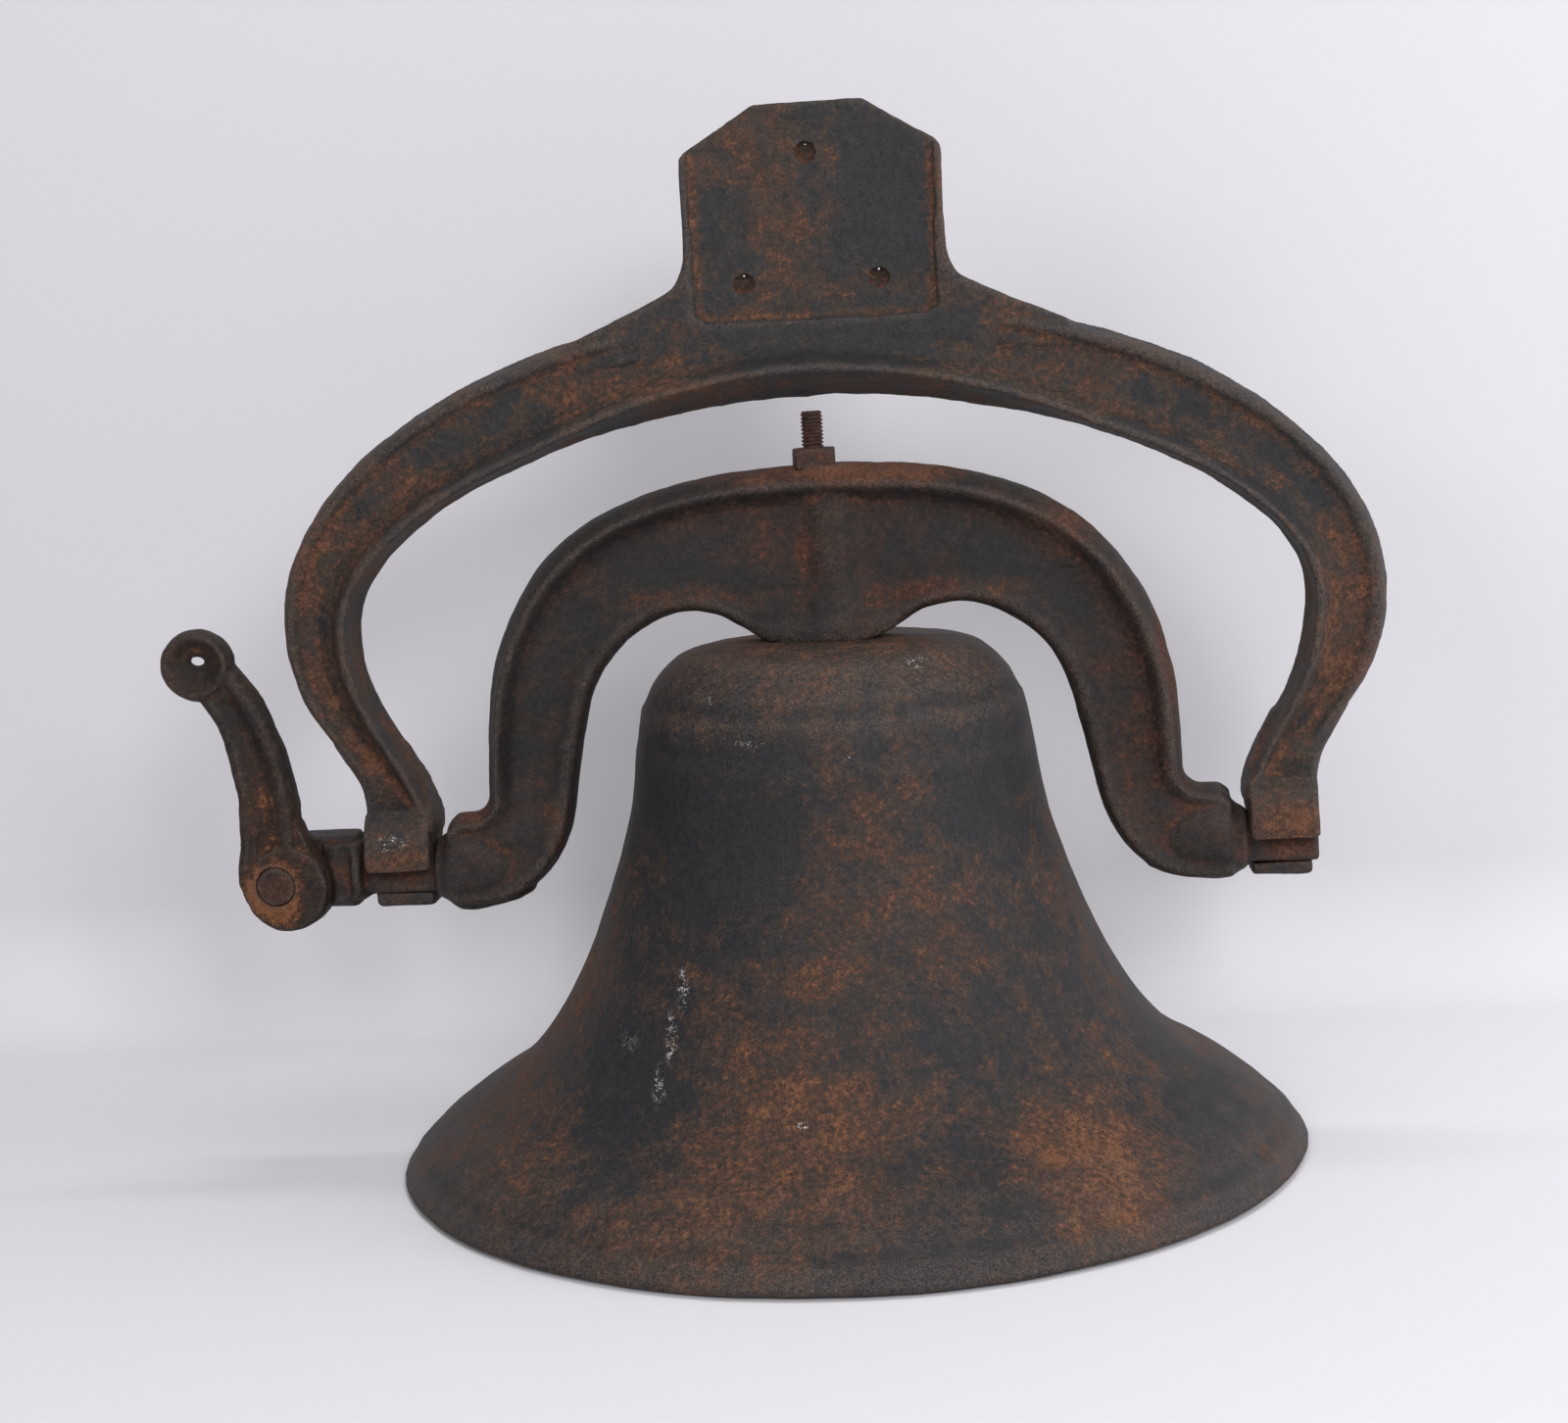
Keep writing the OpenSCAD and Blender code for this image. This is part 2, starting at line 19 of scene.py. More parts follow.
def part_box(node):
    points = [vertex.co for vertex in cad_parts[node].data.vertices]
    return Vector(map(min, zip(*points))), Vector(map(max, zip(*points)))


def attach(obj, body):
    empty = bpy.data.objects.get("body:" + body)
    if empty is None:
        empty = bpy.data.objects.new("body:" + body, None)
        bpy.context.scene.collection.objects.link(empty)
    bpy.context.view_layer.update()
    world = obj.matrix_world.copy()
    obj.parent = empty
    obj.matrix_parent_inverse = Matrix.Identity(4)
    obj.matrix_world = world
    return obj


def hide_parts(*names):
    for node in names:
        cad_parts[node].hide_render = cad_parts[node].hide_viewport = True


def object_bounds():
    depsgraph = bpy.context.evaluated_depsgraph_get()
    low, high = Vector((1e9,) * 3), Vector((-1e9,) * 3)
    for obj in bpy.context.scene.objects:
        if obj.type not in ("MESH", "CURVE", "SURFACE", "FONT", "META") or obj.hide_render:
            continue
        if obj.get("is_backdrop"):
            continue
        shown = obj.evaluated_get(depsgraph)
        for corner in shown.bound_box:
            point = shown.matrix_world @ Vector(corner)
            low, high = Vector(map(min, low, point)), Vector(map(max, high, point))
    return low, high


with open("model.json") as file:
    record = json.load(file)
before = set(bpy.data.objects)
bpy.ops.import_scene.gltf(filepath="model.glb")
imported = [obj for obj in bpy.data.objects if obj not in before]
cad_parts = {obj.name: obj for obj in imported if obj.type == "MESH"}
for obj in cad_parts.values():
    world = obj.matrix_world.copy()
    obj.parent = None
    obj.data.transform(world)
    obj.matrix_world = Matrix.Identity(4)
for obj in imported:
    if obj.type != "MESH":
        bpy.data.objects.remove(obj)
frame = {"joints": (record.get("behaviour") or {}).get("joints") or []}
plain_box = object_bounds()

# %% [markdown]
# ## Where things are
# Lengths are easiest to read in millimetres from the trunnion axis, because everything
# on the bell is arranged round the line that it swings on. The hinge in the record says
# where that line is, and the boxes of the plain nodes give the heights of the rest.

# %% the trunnion axis and the main heights
MM = 0.001
joints = {j["name"]: j for j in frame["joints"]}
axis_at = Vector(joints["bell_swing"]["pos_m"])
lever_at = (Vector(joints["lever_tilt"]["pos_m"]) - axis_at) / MM
clapper_at = (Vector(joints["clapper_swing"]["pos_m"]) - axis_at) / MM


def height(node, end):
    return (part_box(node)[end][2] - axis_at.z) / MM


mouth_z = height("bell", 0)
crown_z = height("bell", 1)
yoke_top = height("yoke", 1)
bolt_top = height("bell_bolt", 1)
mouth_r = (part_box("bell")[1][0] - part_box("bell")[0][0]) / 2 / MM
back_y = -axis_at.y / MM
print(f"mouth {mouth_z:.1f}, crown {crown_z:.1f}, yoke {yoke_top:.1f} mm")
print(f"bolt {bolt_top:.1f}, back {back_y:.2f} mm")


# %% meshes from lists of corners
def as_mesh(name, verts, faces):
    mesh = bpy.data.meshes.new(name)
    mesh.from_pydata([Vector(v) * MM + axis_at for v in verts], [], faces)
    mesh.update()
    return mesh


def as_object(name, mesh):
    made = bpy.data.objects.new(name, mesh)
    bpy.context.scene.collection.objects.link(made)
    return made


def settle(made):
    """Turns an object with live modifiers into a plain mesh."""
    bpy.context.view_layer.update()
    seen = made.evaluated_get(bpy.context.evaluated_depsgraph_get())
    mesh = bpy.data.meshes.new_from_object(seen)
    made.modifiers.clear()
    made.data = mesh
    return made


def part_way(value, low, high):
    """How far a value is from low to high, as a share from 0 to 1."""
    return min(1.0, max(0.0, (value - low) / (high - low)))


def joined(parts):
    """Several (verts, faces) lists as one."""
    verts, faces = [], []
    for part_verts, part_faces in parts:
        start = len(verts)
        verts += [tuple(v) for v in part_verts]
        faces += [[i + start for i in face] for face in part_faces]
    return verts, faces


def face_out(mesh):
    """Makes every face of a closed mesh point outwards."""
    bm = bmesh.new()
    bm.from_mesh(mesh)
    bmesh.ops.recalc_face_normals(bm, faces=bm.faces)
    if bm.calc_volume(signed=True) < 0:
        bmesh.ops.reverse_faces(bm, faces=bm.faces)
    bm.to_mesh(mesh)
    bm.free()
    mesh.shade_smooth()


def cut_away(made, tools):
    """Cuts rough solids out of a piece, as a drill or a core does."""
    cutter = as_object("drill", as_mesh("drill", *joined(tools)))
    face_out(cutter.data)
    cut = made.modifiers.new("bore", "BOOLEAN")
    cut.operation, cut.object, cut.solver = "DIFFERENCE", cutter, "EXACT"
    settle(made)
    bpy.data.objects.remove(cutter)


# %% [markdown]
# ## The ways a foundry shape is built up
# A casting starts as a wooden pattern: bands, blocks, rods and lumps glued together,
# with the corners filled by leather or wax fillets. The same is done here. Rough solids
# overlap, a voxel remesh gives them one skin, and a little smoothing rounds the edges
# and fills the corners as a fillet does.


# %% rough solids for the patterns
def run(points, steps):
    """A smooth run through a few corners, with steps points for each stretch."""
    p = [Vector(q) for q in points]
    made = []
    for i in range(len(p) - 1):
        a, b, c, d = p[max(i - 1, 0)], p[i], p[i + 1], p[min(i + 2, len(p) - 1)]
        for k in range(steps):
            t = k / steps
            made.append(0.5 * (2 * b + (c - a) * t + (2 * a - 5 * b + 4 * c - d) * t * t
                               + (3 * b - 3 * c + d - a) * t ** 3))
    made.append(p[-1])
    return made


def even(points, count):
    """The same line with its points evenly spaced."""
    p = np.array([tuple(q) for q in points])
    along = np.concatenate([[0], np.cumsum(np.linalg.norm(np.diff(p, axis=0), axis=1))])
    at = np.linspace(0, along[-1], count)
    return np.stack([np.interp(at, along, p[:, k]) for k in range(p.shape[1])], 1)


def all_round(count):
    """Evenly spaced angles round a circle."""
    return np.linspace(0, 2 * math.pi, count, endpoint=False)


def tube(rings):
    """Skins a list of rings of points, and caps both ends."""
    count = len(rings[0])
    verts = [v for ring in rings for v in ring]
    faces = []
    for k in range(len(rings) - 1):
        for i in range(count):
            j = (i + 1) % count
            faces.append([k * count + i, k * count + j, (k + 1) * count + j, (k + 1) * count + i])
    faces.append(list(range(count))[::-1])
    faces.append([(len(rings) - 1) * count + i for i in range(count)])
    return verts, faces


def band(outer, inner, section):
    """A band between two curves in the XZ plane. section(width, outer point) gives its
    outline as (distance in from the outer curve, y)."""
    rings = []
    for o, i in zip(outer, inner):
        o, i = Vector(o), Vector(i)
        across = (i - o).normalized()
        rings.append([(o.x + across.x * d, y, o.y + across.y * d)
                      for d, y in section((i - o).length, o)])
    return tube(rings)


def rod(start, end, r0, r1, around=48):
    """A round bar between two points, which may taper."""
    start, end = Vector(start), Vector(end)
    turn = (end - start).to_track_quat("Z", "Y").to_matrix()
    ring = [turn @ Vector((math.cos(a), math.sin(a), 0)) for a in all_round(around)]
    return tube([[start + v * r0 for v in ring], [end + v * r1 for v in ring]])


def slab(outline, y0, y1):
    """An outline in the XZ plane, stood up from y0 back to y1."""
    return tube([[(x, y0, z) for x, z in outline], [(x, y1, z) for x, z in outline]])


def bar(outline, x0, x1, corner):
    """A side outline (y, z) pushed along X, with its two ends a little smaller."""
    c = Vector((sum(p[0] for p in outline) / len(outline), sum(p[1] for p in outline) / len(outline)))
    size = max((Vector(p) - c).length for p in outline)
    rings = []
    for x, inset in ((x0, corner), (x0 + corner * 0.3, corner * 0.3), (x0 + corner, 0),
                     (x1 - corner, 0), (x1 - corner * 0.3, corner * 0.3), (x1, corner)):
        rings.append([(x, *(c + (Vector(p) - c) * (1 - inset / size))) for p in outline])
    return tube(rings)


def lump(centre, radii, around=40, rows=24):
    """An egg-shaped lump."""
    rings = []
    for k in range(1, rows):
        a = math.pi * k / rows
        rings.append([(centre[0] + radii[0] * math.sin(a) * math.cos(t),
                       centre[1] + radii[1] * math.sin(a) * math.sin(t),
                       centre[2] + radii[2] * math.cos(a)) for t in all_round(around)])
    return tube(rings)


def box(low, high):
    """A plain block, as a rough solid."""
    (x0, y0, z0), (x1, y1, z1) = low, high
    return slab([(x0, z0), (x1, z0), (x1, z1), (x0, z1)], y0, y1)


# %% one skin, soft edges, a sand-cast surface
def cast(name, parts, grain, soften):
    """Casts overlapping rough solids as one piece. grain is the voxel, in mm."""
    made = as_object(name, as_mesh(name, *joined(parts)))
    skin = made.modifiers.new("one_skin", "REMESH")
    skin.mode = "VOXEL"
    skin.voxel_size = grain * MM
    soft = made.modifiers.new("soft_edges", "SMOOTH")
    soft.factor = 0.5
    soft.iterations = soften
    settle(made)
    print(name, len(made.data.vertices), "points after casting")
    return made


def points_of(mesh):
    co = np.empty(len(mesh.vertices) * 3)
    mesh.vertices.foreach_get("co", co)
    return co.reshape(-1, 3)


def normals_of(mesh):
    out = np.empty(len(mesh.vertices) * 3)
    mesh.vertex_normals.foreach_get("vector", out)
    return out.reshape(-1, 3)


def roughen(made, waves, seed=0.0):
    """Pushes the surface in and out by a few sizes of noise: (size, height) in mm."""
    mesh = made.data
    co, normal = points_of(mesh), normals_of(mesh)
    push = np.zeros(len(co))
    for size, rise in waves:
        scaled = co / (size * MM) + seed
        push += np.array([noise.noise(Vector(p)) for p in scaled]) * rise * MM
    mesh.vertices.foreach_set("co", (co + normal * push[:, None]).ravel())
    mesh.update()


def give_iron(made, material):
    """Gives a casting its material, and points its faces outwards."""
    made.data.materials.clear()
    made.data.materials.append(material)
    face_out(made.data)


def mark_wear(made, steps=7, full=0.45):
    """Writes two masks on the mesh: ridge where it is proud, hollow where it is sunk."""
    mesh = made.data
    co, normal = points_of(mesh), normals_of(mesh)
    ends = np.empty(len(mesh.edges) * 2, int)
    mesh.edges.foreach_get("vertices", ends)
    a, b = ends.reshape(-1, 2).T
    count = np.maximum(np.bincount(a, minlength=len(co)) + np.bincount(b, minlength=len(co)), 1)
    soft = co
    for _ in range(steps):
        total = np.stack([np.bincount(a, soft[b, k], len(co)) + np.bincount(b, soft[a, k], len(co))
                          for k in range(3)], 1)
        soft = total / count[:, None]
    rise = ((co - soft) * normal).sum(1) / (full * MM)
    for name, value in (("ridge", rise), ("hollow", -rise)):
        layer = mesh.attributes.new(name, "FLOAT", "POINT")
        layer.data.foreach_set("value", np.clip(value, 0, 1).astype(np.float32))


# %% [markdown]
# ## Turned shapes and threads by Geometry Nodes
# The bell is swept up in the mould with a board that turns round a spindle, so its shape
# follows one rule: a profile, turned round an axis. A node tree does just that. It reads
# the profile from the object, and takes how many points go round and along. Pins and the
# washer are turned with the same tree.


# %% node tree helpers
def wire(tree, start, end):
    tree.links.new(start, end)
    return end


def put(tree, kind, settings=None, **values):
    """Adds a node. settings are its properties, values its unlinked sockets or links."""
    made = tree.nodes.new(kind)
    for key, value in (settings or {}).items():
        setattr(made, key, value)
    for key, value in values.items():
        numbered = key[0] == "i" and key[1:].isdigit()
        socket = made.inputs[int(key[1:]) if numbered else key.replace("_", " ")]
        if isinstance(value, bpy.types.NodeSocket):
            tree.links.new(value, socket)
        else:
            socket.default_value = value
    return made


def sums(tree, operation, a, b=0.0, c=0.0):
    return put(tree, "ShaderNodeMath", {"operation": operation}, i0=a, i1=b, i2=c).outputs[0]


def shape_tree(name, sockets):
    tree = bpy.data.node_groups.new(name, "GeometryNodeTree")
    tree.interface.new_socket("Geometry", in_out="INPUT", socket_type="NodeSocketGeometry")
    for label, kind, value in sockets:
        made = tree.interface.new_socket(label, in_out="INPUT", socket_type=kind)
        if value is not None:
            made.default_value = value
    tree.interface.new_socket("Geometry", in_out="OUTPUT", socket_type="NodeSocketGeometry")
    return tree, tree.nodes.new("NodeGroupInput"), tree.nodes.new("NodeGroupOutput")


def grown(made, tree, values):
    """Runs a tree on an object and keeps the result as a plain mesh."""
    mod = made.modifiers.new(tree.name, "NODES")
    mod.node_group = tree
    sockets = {s.name: s.identifier for s in tree.interface.items_tree if s.in_out == "INPUT"}
    for label, value in values.items():
        mod[sockets[label]] = value
    return settle(made)


def close_tree(tree, out, geometry, material):
    merged = put(tree, "GeometryNodeMergeByDistance", Geometry=geometry, Distance=0.002 * MM)
    real = put(tree, "GeometryNodeRealizeInstances", Geometry=merged.outputs[0])
    skin = put(tree, "GeometryNodeSetMaterial", Geometry=real.outputs[0], Material=material)
    wire(tree, skin.outputs[0], out.inputs[0])


# %% the turning tree
turning, given, out = shape_tree("turned_shape", [
    ("Around", "NodeSocketInt", 96), ("Rows", "NodeSocketInt", 100),
    ("Material", "NodeSocketMaterial", None)])
calc = partial(sums, turning)
profile = put(turning, "GeometryNodeMeshToCurve", Mesh=given.outputs["Geometry"])
sheet = put(turning, "GeometryNodeMeshGrid", Size_X=1.0, Size_Y=1.0, Vertices_X=given.outputs["Rows"],
            Vertices_Y=given.outputs["Around"])
place = turning.nodes.new("GeometryNodeInputPosition").outputs[0]
place = put(turning, "ShaderNodeSeparateXYZ", Vector=place)
along = put(turning, "GeometryNodeSampleCurve", {"mode": "FACTOR", "use_all_curves": True},
            Curves=profile.outputs[0], Factor=calc("ADD", place.outputs["X"], 0.5))
spot = put(turning, "ShaderNodeSeparateXYZ", Vector=along.outputs["Position"])
angle = calc("MULTIPLY", calc("ADD", place.outputs["Y"], 0.5), 2 * math.pi)
turned = put(turning, "ShaderNodeCombineXYZ",
             X=calc("MULTIPLY", spot.outputs["X"], calc("COSINE", angle)),
             Y=calc("MULTIPLY", spot.outputs["X"], calc("SINE", angle)),
             Z=spot.outputs["Z"])
moved = put(turning, "GeometryNodeSetPosition", Geometry=sheet.outputs[0], Position=turned.outputs[0])
close_tree(turning, out, moved.outputs[0], given.outputs["Material"])


def turned_piece(name, outline, around, rows, material, place=Matrix.Identity(4)):
    """Turns a closed outline of (radius, height) in mm round Z, then puts it in place."""
    mesh = bpy.data.meshes.new(name)
    corners = [Vector((r, 0, z)) * MM for r, z in outline]
    mesh.from_pydata(corners + corners[:1], [(i, i + 1) for i in range(len(corners))], [])
    made = grown(as_object(name, mesh), turning,
                 {"Around": around + 1, "Rows": rows + 1, "Material": material})
    made.data.transform(Matrix.Translation(axis_at) @ place)
    face_out(made.data)
    print(name, len(made.data.vertices), "points turned")
    return made


# %% the thread tree
threading, given, out = shape_tree("cut_thread", [
    ("Radius", "NodeSocketFloat", 0.0048), ("Pitch", "NodeSocketFloat", 0.0016),
    ("Depth", "NodeSocketFloat", 0.0009), ("Length", "NodeSocketFloat", 0.03),
    ("Chamfer", "NodeSocketFloat", 0.001), ("Around", "NodeSocketInt", 48),
    ("Rows", "NodeSocketInt", 200), ("Material", "NodeSocketMaterial", None)])
calc = partial(sums, threading)
sheet = put(threading, "GeometryNodeMeshGrid", Size_X=1.0, Size_Y=1.0,
            Vertices_X=given.outputs["Rows"], Vertices_Y=given.outputs["Around"])
place = threading.nodes.new("GeometryNodeInputPosition").outputs[0]
place = put(threading, "ShaderNodeSeparateXYZ", Vector=place)
rise = calc("MULTIPLY", calc("ADD", place.outputs["X"], 0.5), given.outputs["Length"])
turn = calc("ADD", place.outputs["Y"], 0.5)
phase = calc("SUBTRACT", calc("DIVIDE", rise, given.outputs["Pitch"]), turn)
tooth = calc("MULTIPLY", calc("PINGPONG", phase, 0.5), 2.0)
flank = calc("SUBTRACT", calc("MULTIPLY", tooth, 1.35), 0.18)
flank = calc("MINIMUM", calc("MAXIMUM", flank, 0.0), 1.0)
width = calc("SUBTRACT", given.outputs["Radius"], calc("MULTIPLY", flank, given.outputs["Depth"]))
left = calc("SUBTRACT", given.outputs["Length"], rise)
crown = calc("ADD", calc("SUBTRACT", given.outputs["Radius"], given.outputs["Chamfer"]), left)
width = calc("MINIMUM", width, crown)
angle = calc("MULTIPLY", turn, 2 * math.pi)
cut = put(threading, "ShaderNodeCombineXYZ", X=calc("MULTIPLY", width, calc("COSINE", angle)),
          Y=calc("MULTIPLY", width, calc("SINE", angle)), Z=rise)
moved = put(threading, "GeometryNodeSetPosition", Geometry=sheet.outputs[0], Position=cut.outputs[0])
close_tree(threading, out, moved.outputs[0], given.outputs["Material"])
print("trees", [t.name for t in bpy.data.node_groups])

# %% [markdown]
# ## Old iron
# The iron was once black. What is left of that is a cold, blue-grey skin, and rust has
# eaten through it in soft patches, with a fine speckle where the sand-cast grain stands
# proud. One node group makes this for every casting. It mixes a patina, a brown film and
# two rusts by noise of four sizes, and adds the masks that the meshes carry, so that
# hollows hold orange rust and edges are rubbed.


# %% shader group helpers
def skin_tree(name, ins, outs):
    tree = bpy.data.node_groups.new(name, "ShaderNodeTree")
    for label, kind, value in ins:
        made = tree.interface.new_socket(label, in_out="INPUT", socket_type="NodeSocket" + kind)
        made.default_value = value
    for label, kind in outs:
        tree.interface.new_socket(label, in_out="OUTPUT", socket_type="NodeSocket" + kind)
    return tree, tree.nodes.new("NodeGroupInput"), tree.nodes.new("NodeGroupOutput")


def blend(tree, share, a, b):
    """Mixes two colours: all a at share 0, all b at share 1."""
    return put(tree, "ShaderNodeMix", {"data_type": "RGBA"}, i0=share, i6=a, i7=b).outputs[2]


def grade(tree, value, low, high, to_low=0.0, to_high=1.0, smooth=True):
    """Takes a value from one range to another, smoothly or in a straight line."""
    return put(tree, "ShaderNodeMapRange", {"interpolation_type": "SMOOTHSTEP" if smooth else "LINEAR"},
               Value=value, From_Min=low, From_Max=high, To_Min=to_low, To_Max=to_high).outputs[0]


def cloud(tree, where, scale, detail, rough, twist=0.0):
    """Noise round zero."""
    made = put(tree, "ShaderNodeTexNoise", Vector=where, Scale=scale, Detail=detail, Roughness=rough,
               Distortion=twist)
    return sums(tree, "SUBTRACT", made.outputs["Fac"], 0.5)


def arrows(tree, operation, a, b):
    """A sum of two vectors."""
    return put(tree, "ShaderNodeVectorMath", {"operation": operation}, i0=a, i1=b).outputs[0]


def scaled(tree, vector, share):
    return put(tree, "ShaderNodeVectorMath", {"operation": "SCALE"}, i0=vector, Scale=share).outputs[0]


# %% the old iron group
old_iron, given, out = skin_tree("old_iron", [
    ("Patina", "Color", (0.018, 0.0175, 0.02, 1)), ("Film", "Color", (0.036, 0.024, 0.019, 1)),
    ("Rust", "Color", (0.075, 0.036, 0.024, 1)), ("Bright Rust", "Color", (0.17, 0.07, 0.034, 1)),
    ("Rubbed", "Color", (0.075, 0.055, 0.046, 1)), ("Rust Cover", "Float", 0.5), ("Local Rust And Painted Light", "Float", 0.0),
    ("Patch Scale", "Float", 14.0), ("Speckle", "Float", 1.0), ("Bright Share", "Float", 0.5),
    ("Ridge", "Float", 0.0), ("Hollow", "Float", 0.0), ("Hollow Rust", "Float", 0.4), ("Chalk", "Float", 0.0),
    ("Blotches", "Float", 1.4), ("Offset", "Float", 0.0)],
    [("Color", "Color"), ("Roughness", "Float"), ("Height", "Float")])
calc = partial(sums, old_iron)
where = put(old_iron, "ShaderNodeTexCoord").outputs["Object"]
where = arrows(old_iron, "ADD", where, given.outputs["Offset"])
patch = cloud(old_iron, where, given.outputs["Patch Scale"], 3.0, 0.55, 0.4)
blotch = cloud(old_iron, where, 85.0, 5.0, 0.65, 0.3)
speck = cloud(old_iron, where, 400.0, 4.0, 0.8)
grit = cloud(old_iron, where, 1300.0, 2.0, 0.6)
cover = calc("MULTIPLY_ADD", patch, 2.4, given.outputs["Rust Cover"])
cover = calc("MULTIPLY_ADD", blotch, given.outputs["Blotches"], cover)
cover = calc("ADD", cover, given.outputs["Local Rust And Painted Light"])
cover = calc("MULTIPLY_ADD", given.outputs["Hollow"], given.outputs["Hollow Rust"], cover)
broken = calc("MULTIPLY", speck, given.outputs["Speckle"])
filmed = grade(old_iron, calc("MULTIPLY_ADD", broken, 1.2, cover), -0.15, 0.5)
rusty = grade(old_iron, calc("MULTIPLY_ADD", broken, 3.4, cover), 0.3, 1.05)
vivid = calc("MULTIPLY_ADD", blotch, 1.2, calc("MULTIPLY_ADD", broken, 4.2, cover))
vivid = calc("MULTIPLY", grade(old_iron, vivid, 0.85, 1.8), given.outputs["Bright Share"])
tone = blend(old_iron, filmed, given.outputs["Patina"], given.outputs["Film"])
tone = blend(old_iron, rusty, tone, given.outputs["Rust"])
tone = blend(old_iron, vivid, tone, given.outputs["Bright Rust"])
rubbed = calc("MULTIPLY", given.outputs["Ridge"], grade(old_iron, grit, -0.15, 0.2, 0.15, 0.6))
tone = blend(old_iron, rubbed, tone, given.outputs["Rubbed"])
shade = calc("ADD", grade(old_iron, grit, -0.2, 0.2, -0.4, 0.4, False),
             grade(old_iron, speck, -0.25, 0.25, 0.55, 1.45, False))
lit = scaled(old_iron, tone, shade)
chalk = calc("MULTIPLY", grade(old_iron, given.outputs["Chalk"], 0.1, 0.9),
             grade(old_iron, calc("MULTIPLY_ADD", grit, 0.8, speck), 0.06, 0.14))
chalk_white = (0.4, 0.39, 0.38, 1)
wire(old_iron, blend(old_iron, chalk, lit, chalk_white), out.inputs["Color"])
matt = grade(old_iron, rusty, 0.0, 1.0, 0.6, 0.88, False)
wire(old_iron, calc("MULTIPLY_ADD", grit, 0.3, matt), out.inputs["Roughness"])
bumps = calc("MULTIPLY_ADD", speck, 0.8, calc("MULTIPLY", grit, 0.35))
wire(old_iron, calc("MULTIPLY_ADD", blotch, 0.8, bumps), out.inputs["Height"])

# %% a soft spot, to put rust or patina where the weather put it, and on the bell's right lighter film and rust as painted light
soft_spot, given, out = skin_tree("soft_spot", [
    ("Centre", "Vector", (0, 0, 0)), ("Size", "Vector", (0.05, 0.05, 0.05)), ("Strength", "Float", 1.0),
    ("Ragged", "Float", 0.03), ("So Far", "Float", 0.0)], [("Mask", "Float")])
where = put(soft_spot, "ShaderNodeTexCoord").outputs["Object"]
ragged = put(soft_spot, "ShaderNodeTexNoise", Vector=where, Scale=38.0, Detail=3.0)
shift = arrows(soft_spot, "SUBTRACT", ragged.outputs["Color"], (0.5, 0.5, 0.5))
where = arrows(soft_spot, "ADD", where, scaled(soft_spot, shift, given.outputs["Ragged"]))
off = arrows(soft_spot, "DIVIDE", arrows(soft_spot, "SUBTRACT", where, given.outputs["Centre"]),
             given.outputs["Size"])
far = put(soft_spot, "ShaderNodeVectorMath", {"operation": "LENGTH"}, i0=off).outputs["Value"]
near = grade(soft_spot, far, 1.0, 0.15)
mask = sums(soft_spot, "MULTIPLY_ADD", near, given.outputs["Strength"], given.outputs["So Far"])
wire(soft_spot, mask, out.inputs["Mask"])


# %% iron materials, one for each casting
def iron(name, values, spots=(), marks=(), bump=0.35):
    """A cast-iron material. spots and marks are (centre, size, strength), in mm from the axis."""
    made = bpy.data.materials.new(name)
    made.use_nodes = True
    tree = made.node_tree
    shader = tree.nodes["Principled BSDF"]
    skin = tree.nodes.new("ShaderNodeGroup")
    skin.node_tree = old_iron
    for label, value in values.items():
        skin.inputs[label].default_value = value
    for label in ("ridge", "hollow"):
        layer = put(tree, "ShaderNodeAttribute", {"attribute_name": label})
        wire(tree, layer.outputs["Fac"], skin.inputs[label.capitalize()])
    for label, where_they_are in (("Local Rust And Painted Light", spots), ("Chalk", marks)):
        so_far = None
        for centre, size, strength in where_they_are:
            spot = tree.nodes.new("ShaderNodeGroup")
            spot.node_tree = soft_spot
            spot.inputs["Centre"].default_value = Vector(centre) * MM + axis_at
            spot.inputs["Size"].default_value = Vector(size) * MM
            spot.inputs["Strength"].default_value = strength
            spot.inputs["Ragged"].default_value = min(min(size), 30) * MM
            if so_far is not None:
                wire(tree, so_far, spot.inputs["So Far"])
            so_far = spot.outputs["Mask"]
        if so_far is not None:
            wire(tree, so_far, skin.inputs[label])
    wire(tree, skin.outputs["Color"], shader.inputs["Base Color"])
    wire(tree, skin.outputs["Roughness"], shader.inputs["Roughness"])
    shader.inputs["Specular IOR Level"].default_value = 0.22
    bumped = put(tree, "ShaderNodeBump", Strength=bump, Distance=0.0012, Height=skin.outputs["Height"])
    wire(tree, bumped.outputs[0], shader.inputs["Normal"])
    return made


